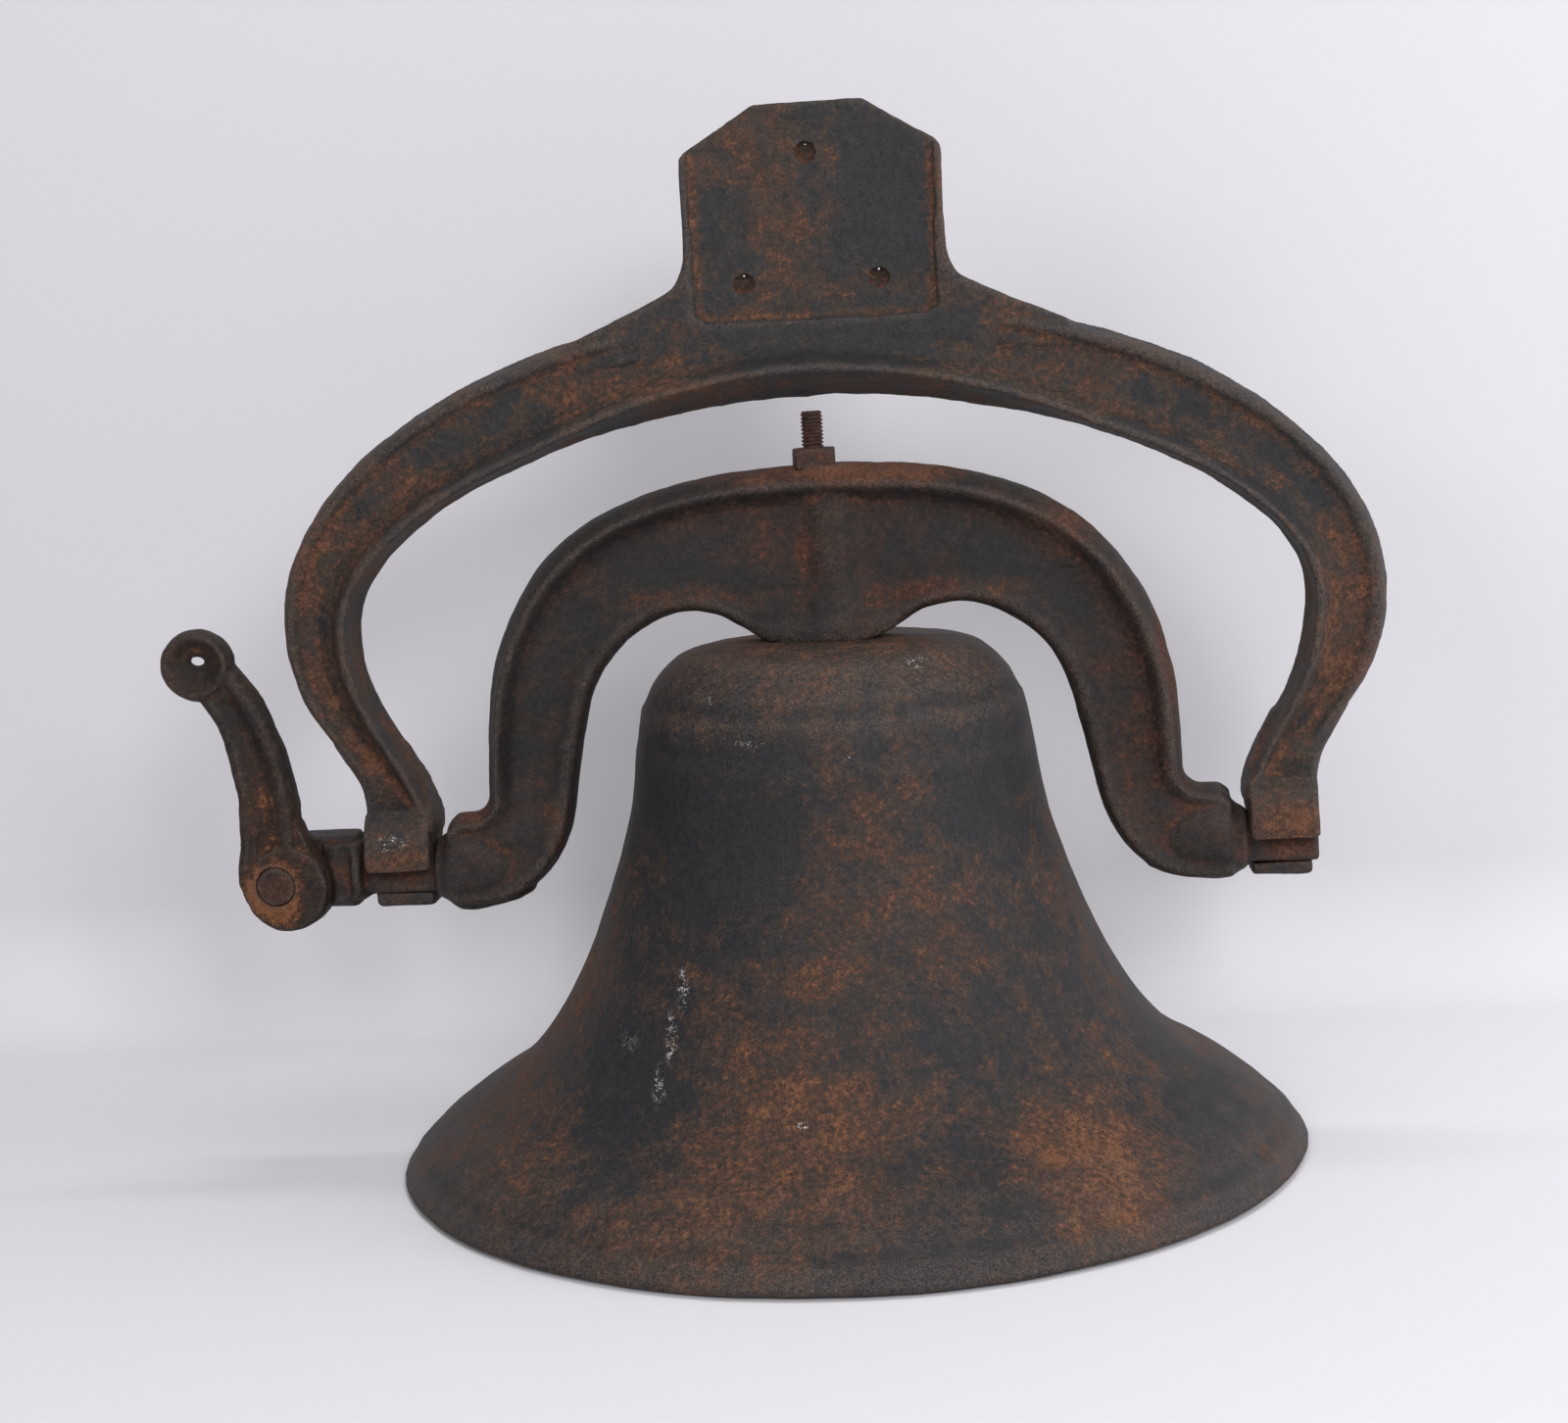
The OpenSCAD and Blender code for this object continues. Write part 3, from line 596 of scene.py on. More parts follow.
bell_iron = iron("bell_iron", {
    "Patina": (0.0165, 0.016, 0.019, 1), "Film": (0.035, 0.0235, 0.019, 1), "Rust": (0.072, 0.035, 0.023, 1),
    "Bright Rust": (0.16, 0.07, 0.034, 1), "Rust Cover": 0.14, "Patch Scale": 11.0, "Speckle": 1.0,
    "Bright Share": 0.6, "Blotches": 2.6}, [
    ((25, -110, 0), (55, 90, 75), 0.4), ((-15, -150, -90), (85, 100, 65), 0.55),
    ((0, 0, 92), (110, 110, 34), 0.55), ((-120, -110, -100), (60, 80, 30), 0.3),
    # these two spots on the bell's lower right are rust, and also painted light: their lighter film and rust
    # stand in for the stronger light on that side
    ((110, -130, -108), (60, 80, 34), 0.8), ((93, -118, -91), (40, 60, 30), 0.3),
    ((-77, -166, -113), (50, 60, 20), 0.3), ((-56, -62, 65), (16, 30, 16), 0.35),
    ((-42, -80, 30), (55, 90, 55), -0.55), ((67, -60, 30), (40, 90, 50), -0.4),
    ((-85, -93, -60), (45, 70, 45), -0.55),
    ((59, -106, -57), (36, 70, 34), -0.4), ((35, -190, -123), (45, 50, 18), -0.4)], [
    ((-60, -95, -36), (4, 30, 14), 0.9), ((-65, -100, -54), (4, 30, 14), 0.95),
    ((-70, -104, -72), (5, 30, 13), 0.8), ((-84, -96, -58), (8, 30, 7), 0.5),
    ((-29, -79, 61), (10, 30, 2.2), 1.0), ((11, -84, 55), (1.8, 20, 1.8), 1.5),
    ((39, -51, 88), (7, 30, 4), 0.8), ((-46, -66, 76), (2, 30, 5), 0.8),
    ((-10, -139, -81), (4, 30, 2.5), 0.9)],
    bump=0.55)
hanger_iron = iron("hanger_iron", {
    "Patina": (0.0215, 0.021, 0.023, 1), "Film": (0.04, 0.027, 0.021, 1), "Rust": (0.07, 0.036, 0.025, 1),
    "Bright Rust": (0.17, 0.072, 0.036, 1), "Rust Cover": 0.12, "Patch Scale": 16.0, "Speckle": 1.0,
    "Bright Share": 0.45, "Blotches": 2.6, "Hollow Rust": 0.9, "Offset": 3.1}, [
    ((-5, 0, 285), (38, 60, 60), 0.4), ((-32, 0, 275), (20, 60, 35), -0.5),
    ((35, 0, 280), (26, 60, 45), -0.5), ((10, 0, 221), (85, 60, 22), -0.8),
    ((-40, 0, 316), (34, 60, 22), 0.6), ((57, 0, 285), (7, 60, 60), 0.8),
    ((0, -10, 203), (190, 40, 9), 0.5), ((-95, 0, 212), (60, 60, 26), 0.35),
    ((-193, -15, 3), (24, 40, 14), 1.0), ((193, -15, 6), (24, 40, 24), 1.1),
    ((222, 0, 90), (26, 60, 70), 0.7), ((-230, 0, 140), (12, 60, 60), 0.3)], [
    ((-194, -17, 14), (11, 20, 5), 0.95)], bump=0.55)
yoke_iron = iron("yoke_iron", {
    "Patina": (0.0155, 0.0135, 0.013, 1), "Film": (0.027, 0.0172, 0.014, 1), "Rust": (0.056, 0.026, 0.018, 1),
    "Bright Rust": (0.15, 0.06, 0.03, 1), "Rust Cover": -0.05, "Patch Scale": 13.0, "Speckle": 0.65,
    "Bright Share": 0.4, "Hollow Rust": 0.9, "Blotches": 1.9, "Offset": 7.7}, [
    ((20, 0, yoke_top - 2), (100, 60, 9), 1.7), ((110, 0, 142), (40, 60, 24), 1.0),
    ((146, 0, 95), (9, 60, 60), 1.0), ((-60, 0, 114), (46, 60, 9), 0.9), ((62, 0, 113), (50, 60, 9), 0.8),
    ((-193, 0, 0), (18, 40, 20), 1.2), ((193, 0, 0), (20, 40, 20), 1.2), ((-160, 0, 24), (14, 40, 8), 1.0),
    ((173, 0, 0), (5, 40, 20), 1.0),
    ((-122, -12, 8), (7, 30, 30), 0.6), ((lever_at.x + 24, -12, 2), (9, 12, 9), 0.8)], bump=0.45)
lever_iron = iron("lever_iron", {
    "Patina": (0.012, 0.0092, 0.0085, 1), "Film": (0.021, 0.0128, 0.0098, 1),
    "Rust": (0.045, 0.021, 0.0135, 1), "Bright Rust": (0.17, 0.068, 0.03, 1), "Rust Cover": 0.25,
    "Patch Scale": 22.0, "Speckle": 0.8, "Bright Share": 0.8, "Hollow Rust": 0.6, "Offset": 12.4}, [
    ((lever_at.x - 2, -18, lever_at.z - 3), (19, 14, 17), 2.6),
    ((lever_at.x - 3, 0, lever_at.z - 14), (14, 60, 8), 0.5),
    ((lever_at.x - 27, 0, lever_at.z + 104), (9, 60, 6), 0.5)], bump=0.5)
rusty_steel = iron("rusty_steel", {
    "Patina": (0.018, 0.0105, 0.009, 1), "Film": (0.03, 0.0155, 0.012, 1), "Rust": (0.056, 0.024, 0.016, 1),
    "Bright Rust": (0.16, 0.066, 0.034, 1), "Rust Cover": 0.5, "Patch Scale": 60.0, "Speckle": 0.7,
    "Bright Share": 0.35, "Offset": 5.3}, bump=0.3)
print("materials", [m.name for m in bpy.data.materials])

# %% [markdown]
# ## The bell
# The bell flares from a narrow waist to a wide mouth, and its lip is thicker than its
# wall, because the clapper strikes there. One closed outline holds the outside, the
# round lip, the inside and the bolt hole, so the turned shape is a closed shell with a
# real wall.

# %% the bell's outline
bell_shares = [(1.005, -0.003), (0.951, 0.054), (0.871, 0.108), (0.772, 0.162), (0.703, 0.216),
               (0.632, 0.297), (0.565, 0.405), (0.505, 0.541), (0.459, 0.676), (0.433, 0.811), (0.42, 0.872),
               (0.393, 0.924), (0.358, 0.964), (0.303, 0.992), (0.17, 1.004), (0.026, 1.004)]
bell_h = crown_z - mouth_z
waist_wall, lip_extra, crown_wall, bolt_hole_r = 6.5, 3, 10, 5.2
bell_aside = 0.8


def faint_ring(z, where, wide, proud):
    return proud * math.exp(-((z - where) / wide) ** 2)


def bell_outline():
    outside = even(run([(r * mouth_r, z * bell_h) for r, z in bell_shares], 8), 260)
    ringed, inside = [], []
    for i, (r, z) in enumerate(outside):
        before, after = outside[max(i - 1, 0)], outside[min(i + 1, len(outside) - 1)]
        d = after - before
        d = d / np.linalg.norm(d)
        rise = faint_ring(z, 7, 1.6, 0.5) + faint_ring(z, 196, 2.2, 0.55) + faint_ring(z, 178, 5, 0.25)
        rise += faint_ring(z, 206, 2.5, 0.35) - faint_ring(z, 12, 2, 0.3)
        ringed.append((r + d[1] * rise, z - d[0] * rise))
        wall = waist_wall + lip_extra * math.exp(-((z - 18) / 22) ** 2)
        inside.append((r - d[1] * wall, z + d[0] * wall))
    inside = [p for p in inside if 2 < p[1] < bell_h - 12]
    lip = [(mouth_r - 8, 0), (mouth_r - 5, -0.9), (mouth_r - 1.4, -1.1)]
    roof = bell_h - crown_wall
    under = [(inside[-1][0] - 7, roof), (18, roof), (bolt_hole_r, roof)]
    hole = [(bolt_hole_r, bell_h)]
    return ringed[1:] + hole + under[::-1] + even(inside, 120).tolist()[::-1] + lip


bell = turned_piece("bell_casting", bell_outline(), 340, 250, bell_iron,
                    Matrix.Translation((bell_aside * MM, 0, mouth_z * MM)))
roughen(bell, [(60, 0.8), (14, 0.3), (5, 0.14)], 2.0)
mark_wear(bell)
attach(bell, "swing")
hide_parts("bell")

# %% [markdown]
# ## The hanger
# The hanger is cast flat on its back. Its arch has a thin web with a deep rib along its
# inner edge and a low bead along its outer edge. The plate above takes three lag screws,
# and the arms end in two hooked bearings that the yoke's trunnions hang in.


# %% the arch of the hanger
def arch(a, b, n, z0, steps):
    """A quarter of a rounded arch, from its top to its widest point."""
    made = []
    for i in range(steps + 1):
        t = math.pi / 2 * (1 - i / steps)
        made.append((a * max(math.cos(t), 0) ** (2 / n), z0 + b * math.sin(t) ** (2 / n)))
    return made


def ease(x0, x1, z0, z1, bend, steps):
    """An easy S-shaped run from one width to another."""
    return [(x1 + (x0 - x1) * (1 + math.cos(math.pi * (i / steps) ** bend)) / 2, z0 + (z1 - z0) * i / steps)
            for i in range(1, steps + 1)]


def both_sides(half):
    half = [tuple(p) for p in half]
    return [(-x, z) for x, z in half[:0:-1]] + half


arch_in, arch_out = bolt_top + 8, bolt_top + 48.5
widest_z, ankle_z = 106, 16
inner_half_w, outer_half_w = 206, 241.6
inner_arch = both_sides(even(arch(inner_half_w, arch_in - widest_z, 1.85, widest_z, 60), 70).tolist()
                        + ease(inner_half_w, 175.5, widest_z, ankle_z, 1.2, 30))
outer_arch = both_sides(even(arch(outer_half_w, arch_out - widest_z, 2.0, widest_z, 60), 70).tolist()
                        + ease(outer_half_w, 204.8, widest_z, ankle_z, 1.25, 30))


def hanger_section(width, outer):
    """The bead outside, the thin web, and the deep rib inside, which leans at the top."""
    top = max(0.0, 1 - abs(outer.x) / 150) if outer.y > 150 else 0.0
    lean = 4.5 + 8 * math.sin(top * math.pi / 2)
    plate = part_way(-abs(outer.x), -95, -65) if outer.y > 150 else 0.0
    bead = 14.2 - 3.2 * plate
    w = width + 0.3 + 2.1 * part_way(outer.y, 120, 210)
    front = run([(0.2, -1), (2.0, -7), (3.2, -11.5), (5.2, -bead), (8.2, -bead + 0.6 * (1 - plate)),
                 (11.5, -11.4), (w * 0.5, -11), (w - lean - 13, -11.6), (w - lean - 7, -15.5),
                 (w - lean - 3.6, -22), (w - lean - 1.4, -26.2), (w - lean + 0.4, -27),
                 (w - lean + 1.8, -25.4), (w - lean * 0.45, -12), (w - 0.4, -2)], 3)
    back = [(w - 1.4, back_y), (w * 0.6, back_y), (w * 0.3, back_y), (1.6, back_y)]
    return [(p.x, back_y + p.y) for p in front] + back


def panelled(verts):
    """Clears the plate's sunk panel out of the arch, and leans the arch a little."""
    out = []
    for x, y, z in verts:
        if abs(x - plate_aside) < 52.5 and z > hole_z - panel_drop:
            y = max(y, panel_y)
        sway = 1.3 * math.exp(-((z - 62) / 26) ** 2) if x > 150 else 0.0
        out.append((x + sway - 1.1 * part_way(z, 25, 85), y, z))
    return out


# the plate sits a little to one side, its panel is sunk, and its face ends in a ledge
hole_z = -axis_at.z / MM
plate_aside, panel_y, panel_drop = 1.6, back_y - 8.8, 15.8
arch_band = band(outer_arch, inner_arch, hanger_section)
arch_band = (panelled(arch_band[0]), arch_band[1])

# %% the plate, its rims and its flares
half_w, plate_top, top_flat, corner = 55.5, hole_z + 75, 24, 19
plate = slab(both_sides([(0, plate_top), (top_flat, plate_top), (half_w - 2, plate_top - corner + 1),
                         (half_w, plate_top - corner - 2), (half_w, hole_z - 36), (0, hole_z - 36)]),
             panel_y, back_y)
rims = [slab([(s * 52.7, hole_z - 12), (s * 55.3, hole_z - 12), (s * 55.4, plate_top - 21),
              (s * 52.7, plate_top - 18)], back_y - 11.6, back_y - 5) for s in (-1, 1)]
flare_line = run([(55.6, 270), (55.9, 262), (57.4, 253.5), (61, 247), (68, 243), (76, 239.2), (91, 232.4),
                  (107, 225.6)], 5)
flares = [slab([(s * p.x, p.y) for p in flare_line] + [(s * 104, 214), (s * 52, 220), (s * 52, 270)],
               back_y - 12.2, back_y) for s in (-1, 1)]
foot_web = slab(both_sides([(0, hole_z - panel_drop), (47, hole_z - panel_drop), (52, hole_z - 13),
                            (53, hole_z - 8), (58, hole_z - 12), (68, hole_z - 22), (76, hole_z - 34),
                            (40, hole_z - 34), (0, hole_z - 30)]), back_y - 12, back_y)
plate_parts = [([(x + plate_aside, y, z) for x, y, z in verts], faces)
               for verts, faces in [plate, foot_web] + rims + flares]

# %% the hooked bearings
hood = run([(-16.7, 1.0), (-17.1, 8), (-16.6, 15), (-14.2, 21), (-9.5, 26), (-3.5, 30), (1.5, 35),
            (4.5, 43), (6.2, 54)], 5)
bore = 11.08


def bore_run(a0, a1, steps):
    return [(bore * math.cos(a), bore * math.sin(a)) for a in np.radians(np.linspace(a0, a1, steps))]


def bearing(side):
    """The nose over the trunnion, the lip under it, and the neck up into the arm."""
    inner_leg = [p for p in inner_arch if p[0] * side > 0 and p[1] < 60]
    outer_leg = [p for p in outer_arch if p[0] * side > 0 and p[1] < 60]
    inner_leg, outer_leg = sorted(inner_leg, key=lambda p: p[1]), sorted(outer_leg, key=lambda p: p[1])
    nose = [(p.x, p.y) for p in hood if p.y < 25] + [(-9, 27), (back_y, 27), (back_y, 11.2)]
    nose += bore_run(90, 166.5, 12)
    lip = [(back_y, 12), (back_y, -17), (12, -17.2), (0, -17.2), (-2.7, -16), (-3.1, -11.2)]
    lip += bore_run(-105, 88, 28) + [(0.5, 12)]
    x0, x1 = sorted((176.9 * side, 206.3 * side))
    neck = []
    for y, z in [(p.x, p.y) for p in hood if p.y > 17]:
        near = np.interp(z, [p[1] for p in inner_leg], [p[0] for p in inner_leg])
        far = np.interp(z, [p[1] for p in outer_leg], [p[0] for p in outer_leg])
        e = 2.2 * side
        neck.append([(near, back_y, z), (near, y + 4, z), (near + e, y + 0.8, z), (near + 3 * e, y, z),
                     (far - 3 * e, y, z), (far - e, y + 0.8, z), (far, y + 4, z), (far, back_y, z)])
    return [bar(nose, x0, x1, 2.6), bar(lip, x0 + 1.2, x1 - 2, 1.6), tube(neck)]


bearing_parts = bearing(-1) + bearing(1)
hanger = cast("hanger_casting", [arch_band] + plate_parts + bearing_parts, 1.25, 3)

# %% the holes in the plate
hole_r, top_hole_up, hole_apart = 4.4, 54, 58
# how a hole runs through the plate: (y, share of its radius, rise of its middle); the narrow, raised waist is
# a plug of iron that paints the shade seen through the hole
hole_run = ((back_y - 30, 1.12, 0), (back_y - 10.2, 1.1, 0), (back_y - 8, 1, 0), (back_y - 5.4, 0.95, 0),
            (back_y - 4.6, 0.1, 3.7), (back_y - 3.4, 0.1, 3.7), (back_y - 2.4, 0.95, 0), (back_y + 5, 1, 0))


def hole_with_shade_plug(x, z):
    """A ragged cored hole along Y, almost closed half way through the plate by a plug of iron, a painted
    shade that keeps the hole dark inside.
    """
    rings = []
    for y, share, rise in hole_run:
        ring = []
        for k in range(24):
            a = 2 * math.pi * k / 24
            ragged = 0.12 * noise.noise(Vector((x, z + y * 0.1, k * 0.8)))
            r = hole_r * share * (1 + 0.03 * math.cos(6 * a + x) + ragged)
            ring.append((x + r * 1.06 * math.cos(a), y, z + rise + r * math.sin(a)))
        rings.append(ring)
    return tube(rings)


roughen(hanger, [(45, 0.9), (12, 0.5), (4, 0.16)], 5.0)
# each hole keeps a plug of iron half way through, as painted shade
cut_away(hanger, [hole_with_shade_plug(-hole_apart / 2, hole_z), hole_with_shade_plug(hole_apart / 2, hole_z),
                  hole_with_shade_plug(0, hole_z + top_hole_up)])
give_iron(hanger, hanger_iron)
mark_wear(hanger)
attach(hanger, "hanger_body")
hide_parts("hanger")
print("hanger", len(hanger.data.polygons), "faces")

# %% [markdown]
# ## The yoke
# The yoke parts along its middle, so its front and back are alike: a crowned flange
# outside, a sunk web, a rounded bead inside, and a boss with a rib above it where the
# bolt goes through. Its feet thicken into shoulders, and the flattened trunnions drop
# into the hooks when the yoke is turned on its side.

# %% the yoke's band
def fillet(x, z, r, a0, a1, steps):
    """A rounded corner, as points of an arc between two angles."""
    return [(x + r * math.cos(math.radians(a)), z + r * math.sin(math.radians(a)))
            for a in np.linspace(a0, a1, steps)]


yoke_outer = even(arch(151.4, yoke_top - 33.6, 2.6, 35, 60), 72).tolist()
yoke_inner = even(run([(0, crown_z + 0.1), (9, crown_z + 0.1), (18, crown_z + 0.8), (27, crown_z + 3.4),
                       (35, crown_z + 8), (43, crown_z + 12.6), (50.5, crown_z + 14.6), (58, crown_z + 15.3),
                       (66, crown_z + 14.3), (75, crown_z + 10.7), (86.6, crown_z + 2.7), (95.5, 86),
                       (102, 72.5), (105.5, 59.5), (108.8, 45.8), (111, 35)], 6), 72).tolist()
outer_leg = even([(151.4, 35), (151.4, 32)] + fillet(159.4, 32.4, 8, 180, 262, 8)
                 + [(166, 24.2), (170, 21)], 24).tolist()
inner_leg = even(run([(111, 35), (114, 21.5), (118.6, 9), (127.5, -4), (139, -12.6), (152, -16.4),
                      (170, -16)], 6), 24).tolist()


def yoke_section(w, outer):
    """The crowned flange outside, the web, and the bead inside. The web swells at the foot."""
    foot = part_way(-outer.y, -36, -24) if abs(outer.x) > 140 else 0.0
    web = 7 + 5.5 * foot
    inset = 7.4 - 2.2 * part_way(-outer.y, -130, -70)
    front = run([(0.0, 1.5), (1.2, 6.5), (3.4, 11), (inset - 1, 15 - foot), (inset + 1, 15.6 - 2 * foot),
                 (inset + 3.4, 13.6 - 0.8 * foot), (inset + 7, 9.4 + 3 * foot), (inset + 12, web + 0.4),
                 (w * 0.5, web), (w - 14, web + 0.2), (w - 9, web + 1.6), (w - 5.5, web + 2.7),
                 (w - 2.4, web + 1.6), (w - 0.6, 5), (w, 1.5)], 3)
    return [(p.x, -p.y) for p in front] + [(p.x, p.y) for p in reversed(front)]


yoke_band = band(both_sides(yoke_outer + outer_leg[1:]), both_sides(yoke_inner + inner_leg[1:]),
                 yoke_section)

# %% the boss and the rib, as swellings of the band
def swelling(x, z):
    """Half the casting's depth at the middle of the yoke."""
    low = 16.2 * math.exp(-(abs(x) / 40) ** 3.2 - (max(z - crown_z - 4, 0) / 17) ** 2.2)
    rib = 12.2 * math.exp(-(abs(x - 5.5) / 14.5) ** 2.5)
    return max(low, rib) + 2.5 * math.exp(-((low - rib) / 4) ** 2)


def swollen(verts):
    """Blends the boss and the rib softly into the band's front and back."""
    out = []
    for x, y, z in verts:
        if abs(x) < 75 and z > crown_z - 1:
            deep, more = abs(y), swelling(x, z)
            edge = min(1.0, deep / 1.5)
            both = 0.5 * (deep + more + math.sqrt((deep - more) ** 2 + 9)) - 1.0
            y = math.copysign(max(deep, both * edge), y)
        out.append((x, y, z))
    return out


def skewed(verts):
    """The two halves of the mould were not quite in line, so the legs and lobes differ."""
    out = []
    for x, y, z in verts:
        share, leg = part_way(z, 8, 53), part_way(-z, -100, -80)
        inside = part_way(-abs(x), -131, -119)
        if x < 0:
            aside = -1.2 + 1.3 * (1 - inside) * part_way(z, 30, 55) - 0.8 * inside * leg
            drop = 0
        else:
            aside = -1.2 - 1.0 * (1 - inside) + 1.5 * inside * leg
            drop = 1.5 * math.exp(-((x - 55) / 24) ** 2) * part_way(-z, -crown_z - 32, -crown_z - 20)
        out.append((x + aside * share, y, z + 0.005 * x * share - drop))
    return out


yoke_parts = [(skewed(swollen(yoke_band[0])), yoke_band[1])]

# %% the feet and the trunnions
trunnion_r, half_flat = 10.95, 6.45


def trunnion(x0, x1):
    ring = []
    for a in all_round(64):
        ring.append((max(-half_flat, min(half_flat, trunnion_r * math.cos(a))), trunnion_r * math.sin(a)))
    return bar(ring, x0, x1, 1.2)


def foot(side):
    """A rounded shoulder that tapers into the trunnion: (x, half depth, half height, middle)."""
    rings = []
    for x, deep, tall, mid in ((134, 10, 8, -3), (141, 12.8, 13, -1.5), (148, 15, 17, 0.6),
                               (155, 16.4, 19.4, 1.8), (162, 16.9, 20.6, 2.2), (167, 16.6, 20, 1.8),
                               (169.6, 15.6, 17.6, 0.6), (171.6, 14.4, 15.4, 0.2), (176.2, 12.6, 12.8, 0)):
        mid += (0.8 if x < 168 else 0) * side
        rings.append([(x * side, deep * math.cos(a) * abs(math.cos(a)) ** -0.18,
                       mid + tall * math.sin(a) * abs(math.sin(a)) ** -0.1)
                      for a in np.linspace(0.01, 2 * math.pi + 0.01, 56, endpoint=False)])
    return tube(rings)


for side, tip_x in ((-1, 214), (1, 207)):
    yoke_parts += [foot(side), trunnion(*sorted((172 * side, tip_x * side)))]

# %% the arm that carries the lever
lx, lz = lever_at.x, lever_at.z
yoke_parts += [
    box((lx + 2, -4, -15.8), (-212.5, 12.5, 16.6)),
    rod((lx + 26, -3, -14.5), (lx + 25, -3, 13), 6.2, 6.6),
    rod((lx + 32.6, -3.5, -12), (lx + 32, -3.5, 14), 5.6, 6.2),
    rod((-213.5, 0, 0), (-209.4, 0, 0), 14.5, 13), lump((lx + 33, 3, 5), (5, 12, 12.6)),
    rod((lx, -3, lz), (lx, 13, lz), 20.5, 20.0),
]
yoke = cast("yoke_casting", yoke_parts, 1.2, 4)
roughen(yoke, [(45, 0.8), (12, 0.4), (4, 0.14)], 9.0)
give_iron(yoke, yoke_iron)
mark_wear(yoke)
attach(yoke, "swing")
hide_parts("yoke")
print("yoke", len(yoke.data.polygons), "faces")

# %% [markdown]
# ## The crank lever
# The rope pulls the small eye at the lever's top. The lever turns stiffly on a riveted
# pin in front of the yoke's lug, so it folds down for storage. Its arm has a groove down
# the front. Its eye and its boss are rings, each a closed outline turned round Y, and the
# eye's hole widens to a funnel.

# %% the lever
front_y, rear_y = -18.4, -3.4


def lever_mid(t):
    a, b, c = Vector((-2.3, 18)), Vector((0.6, 68)), Vector((-28.4, 99))
    return a * (1 - t) ** 2 + b * 2 * t * (1 - t) + c * t * t


def lever_arm():
    rings = []
    for t in np.linspace(-0.12, 0.9, 40):
        mid = lever_mid(t)
        way = (lever_mid(t + 0.01) - lever_mid(t - 0.01)).normalized()
        across = Vector((way.y, -way.x))
        half = 14.2 - 3.8 * part_way(t, -0.1, 0.9) ** 0.8
        deep = 15 - 1.5 * t
        line = run([(-half, -1), (-half - 0.2, -deep * 0.45), (-half + 1.2, -deep * 0.85), (-half + 4, -deep),
                    (-half + 6.5, -deep + 0.8), (-1.5, -deep + 3.2), (2.0, -deep + 2.6),
                    (half - 6, -deep + 0.4), (half - 3, -deep + 0.3), (half - 0.6, -deep * 0.78),
                    (half, -deep * 0.4), (half - 0.3, -1)], 2)
        rings.append([(lx + mid.x + across.x * p.x, rear_y + p.y, lz + mid.y + across.y * p.x) for p in line])
    return tube(rings)


def ring_shape(centre, outline, lift=0.0):
    """A ring round the Y direction from a closed outline of (radius, y). With a lift, its
    hole sits high and is a little flattened."""
    verts, faces = [], []
    count, around = len(outline), 56
    for k in range(around):
        a = 2 * math.pi * k / around
        for r, y in outline:
            tall = r * (0.62 if lift and r < 6 else 1)
            verts.append((centre[0] + r * math.cos(a), y,
                          centre[1] + tall * math.sin(a) + lift * max(0, 1 - r / 13)))
    for k in range(around):
        for i in range(count):
            j, nxt = (i + 1) % count, (k + 1) % around
            faces.append([k * count + i, k * count + j, nxt * count + j, nxt * count + i])
    return verts, faces


tip = (lx - 28.8, lz + 98.3)
eye = ring_shape(tip, [(3.5, -12.6), (3.4, -8.4), (6, -6), (10.6, -4.2), (13, -3.9), (15.2, -5.6), (15.9, -9),
                       (15.6, -13.5), (14.4, -17.2), (12.6, -18), (10.4, -17), (6.6, -14.6)], 2.2)
boss_ring = ring_shape((lx, lz), [(7.3, rear_y), (18.5, rear_y), (19.6, -6), (19.4, -15), (17.8, front_y),
                                 (7.3, front_y)])
boss_reach = [part_way(math.hypot(x - lx, z - lz), 10, 17) for x, y, z in boss_ring[0]]
boss_ring = ([(x + 4.4 * far, y, z - 1.3 * far) for (x, y, z), far in zip(boss_ring[0], boss_reach)],
             boss_ring[1])
neck = lump((tip[0] + 9, -10, tip[1] - 12), (9, 6, 9))
shield = slab([(lx + x, lz + z) for x, z in [(-14, 26), (-15.5, 12), (-16.5, 2), (-12, -9), (-4, -15),
                                            (-9, -8), (-10, 0), (-8, 12), (-6, 26)]], -17.4, rear_y)
shoulder = slab([(lx + x, lz + z) for x, z in [(6, 30), (11.5, 27), (15.5, 16), (20.5, 6), (12, 10),
                                              (6, 18)]], -16.4, rear_y)
lever = cast("crank_lever_casting", [lever_arm(), eye, boss_ring, neck, shield, shoulder], 0.65, 3)
roughen(lever, [(16, 0.9), (6, 0.35), (2.5, 0.12)], 14.0)
cut_away(lever, [rod((lx, front_y - 4, lz), (lx, rear_y + 0.5, lz), 8.9, 8.9, 72)])
give_iron(lever, lever_iron)
mark_wear(lever, 7, 0.3)
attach(lever, "lever_body")
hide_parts("crank_lever")
print("lever", len(lever.data.polygons), "faces")

# %% the lever's pin, with its centre mark
stand_y = Matrix.Translation((lx * MM, 0, lz * MM)) @ Matrix.Rotation(math.radians(90), 4, "X")
pin_outline = [(0.0, 18.1), (0.5, 18.1), (1.0, 18.7), (7.6, 18.8), (8.3, 18.3), (8.5, 17.5), (8.5, -13),
               (11.6, -13), (12, -13.4), (12, -16.2), (11, -17), (0.0, -17)]
lever_pin = turned_piece("lever_rivet", pin_outline, 64, 90, rusty_steel, stand_y)
roughen(lever_pin, [(8, 0.2), (2.5, 0.12)], 1.0)
mark_wear(lever_pin, 3, 0.2)
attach(lever_pin, "swing")
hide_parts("lever_pin")

# %% [markdown]
# ## The bolt, its nut and the clapper
# A long bolt holds the bell on the yoke: its thread stands above a square nut, and its
# lower end is forked for the clapper's pin. The thread is a real helix, cut by the
# thread tree.

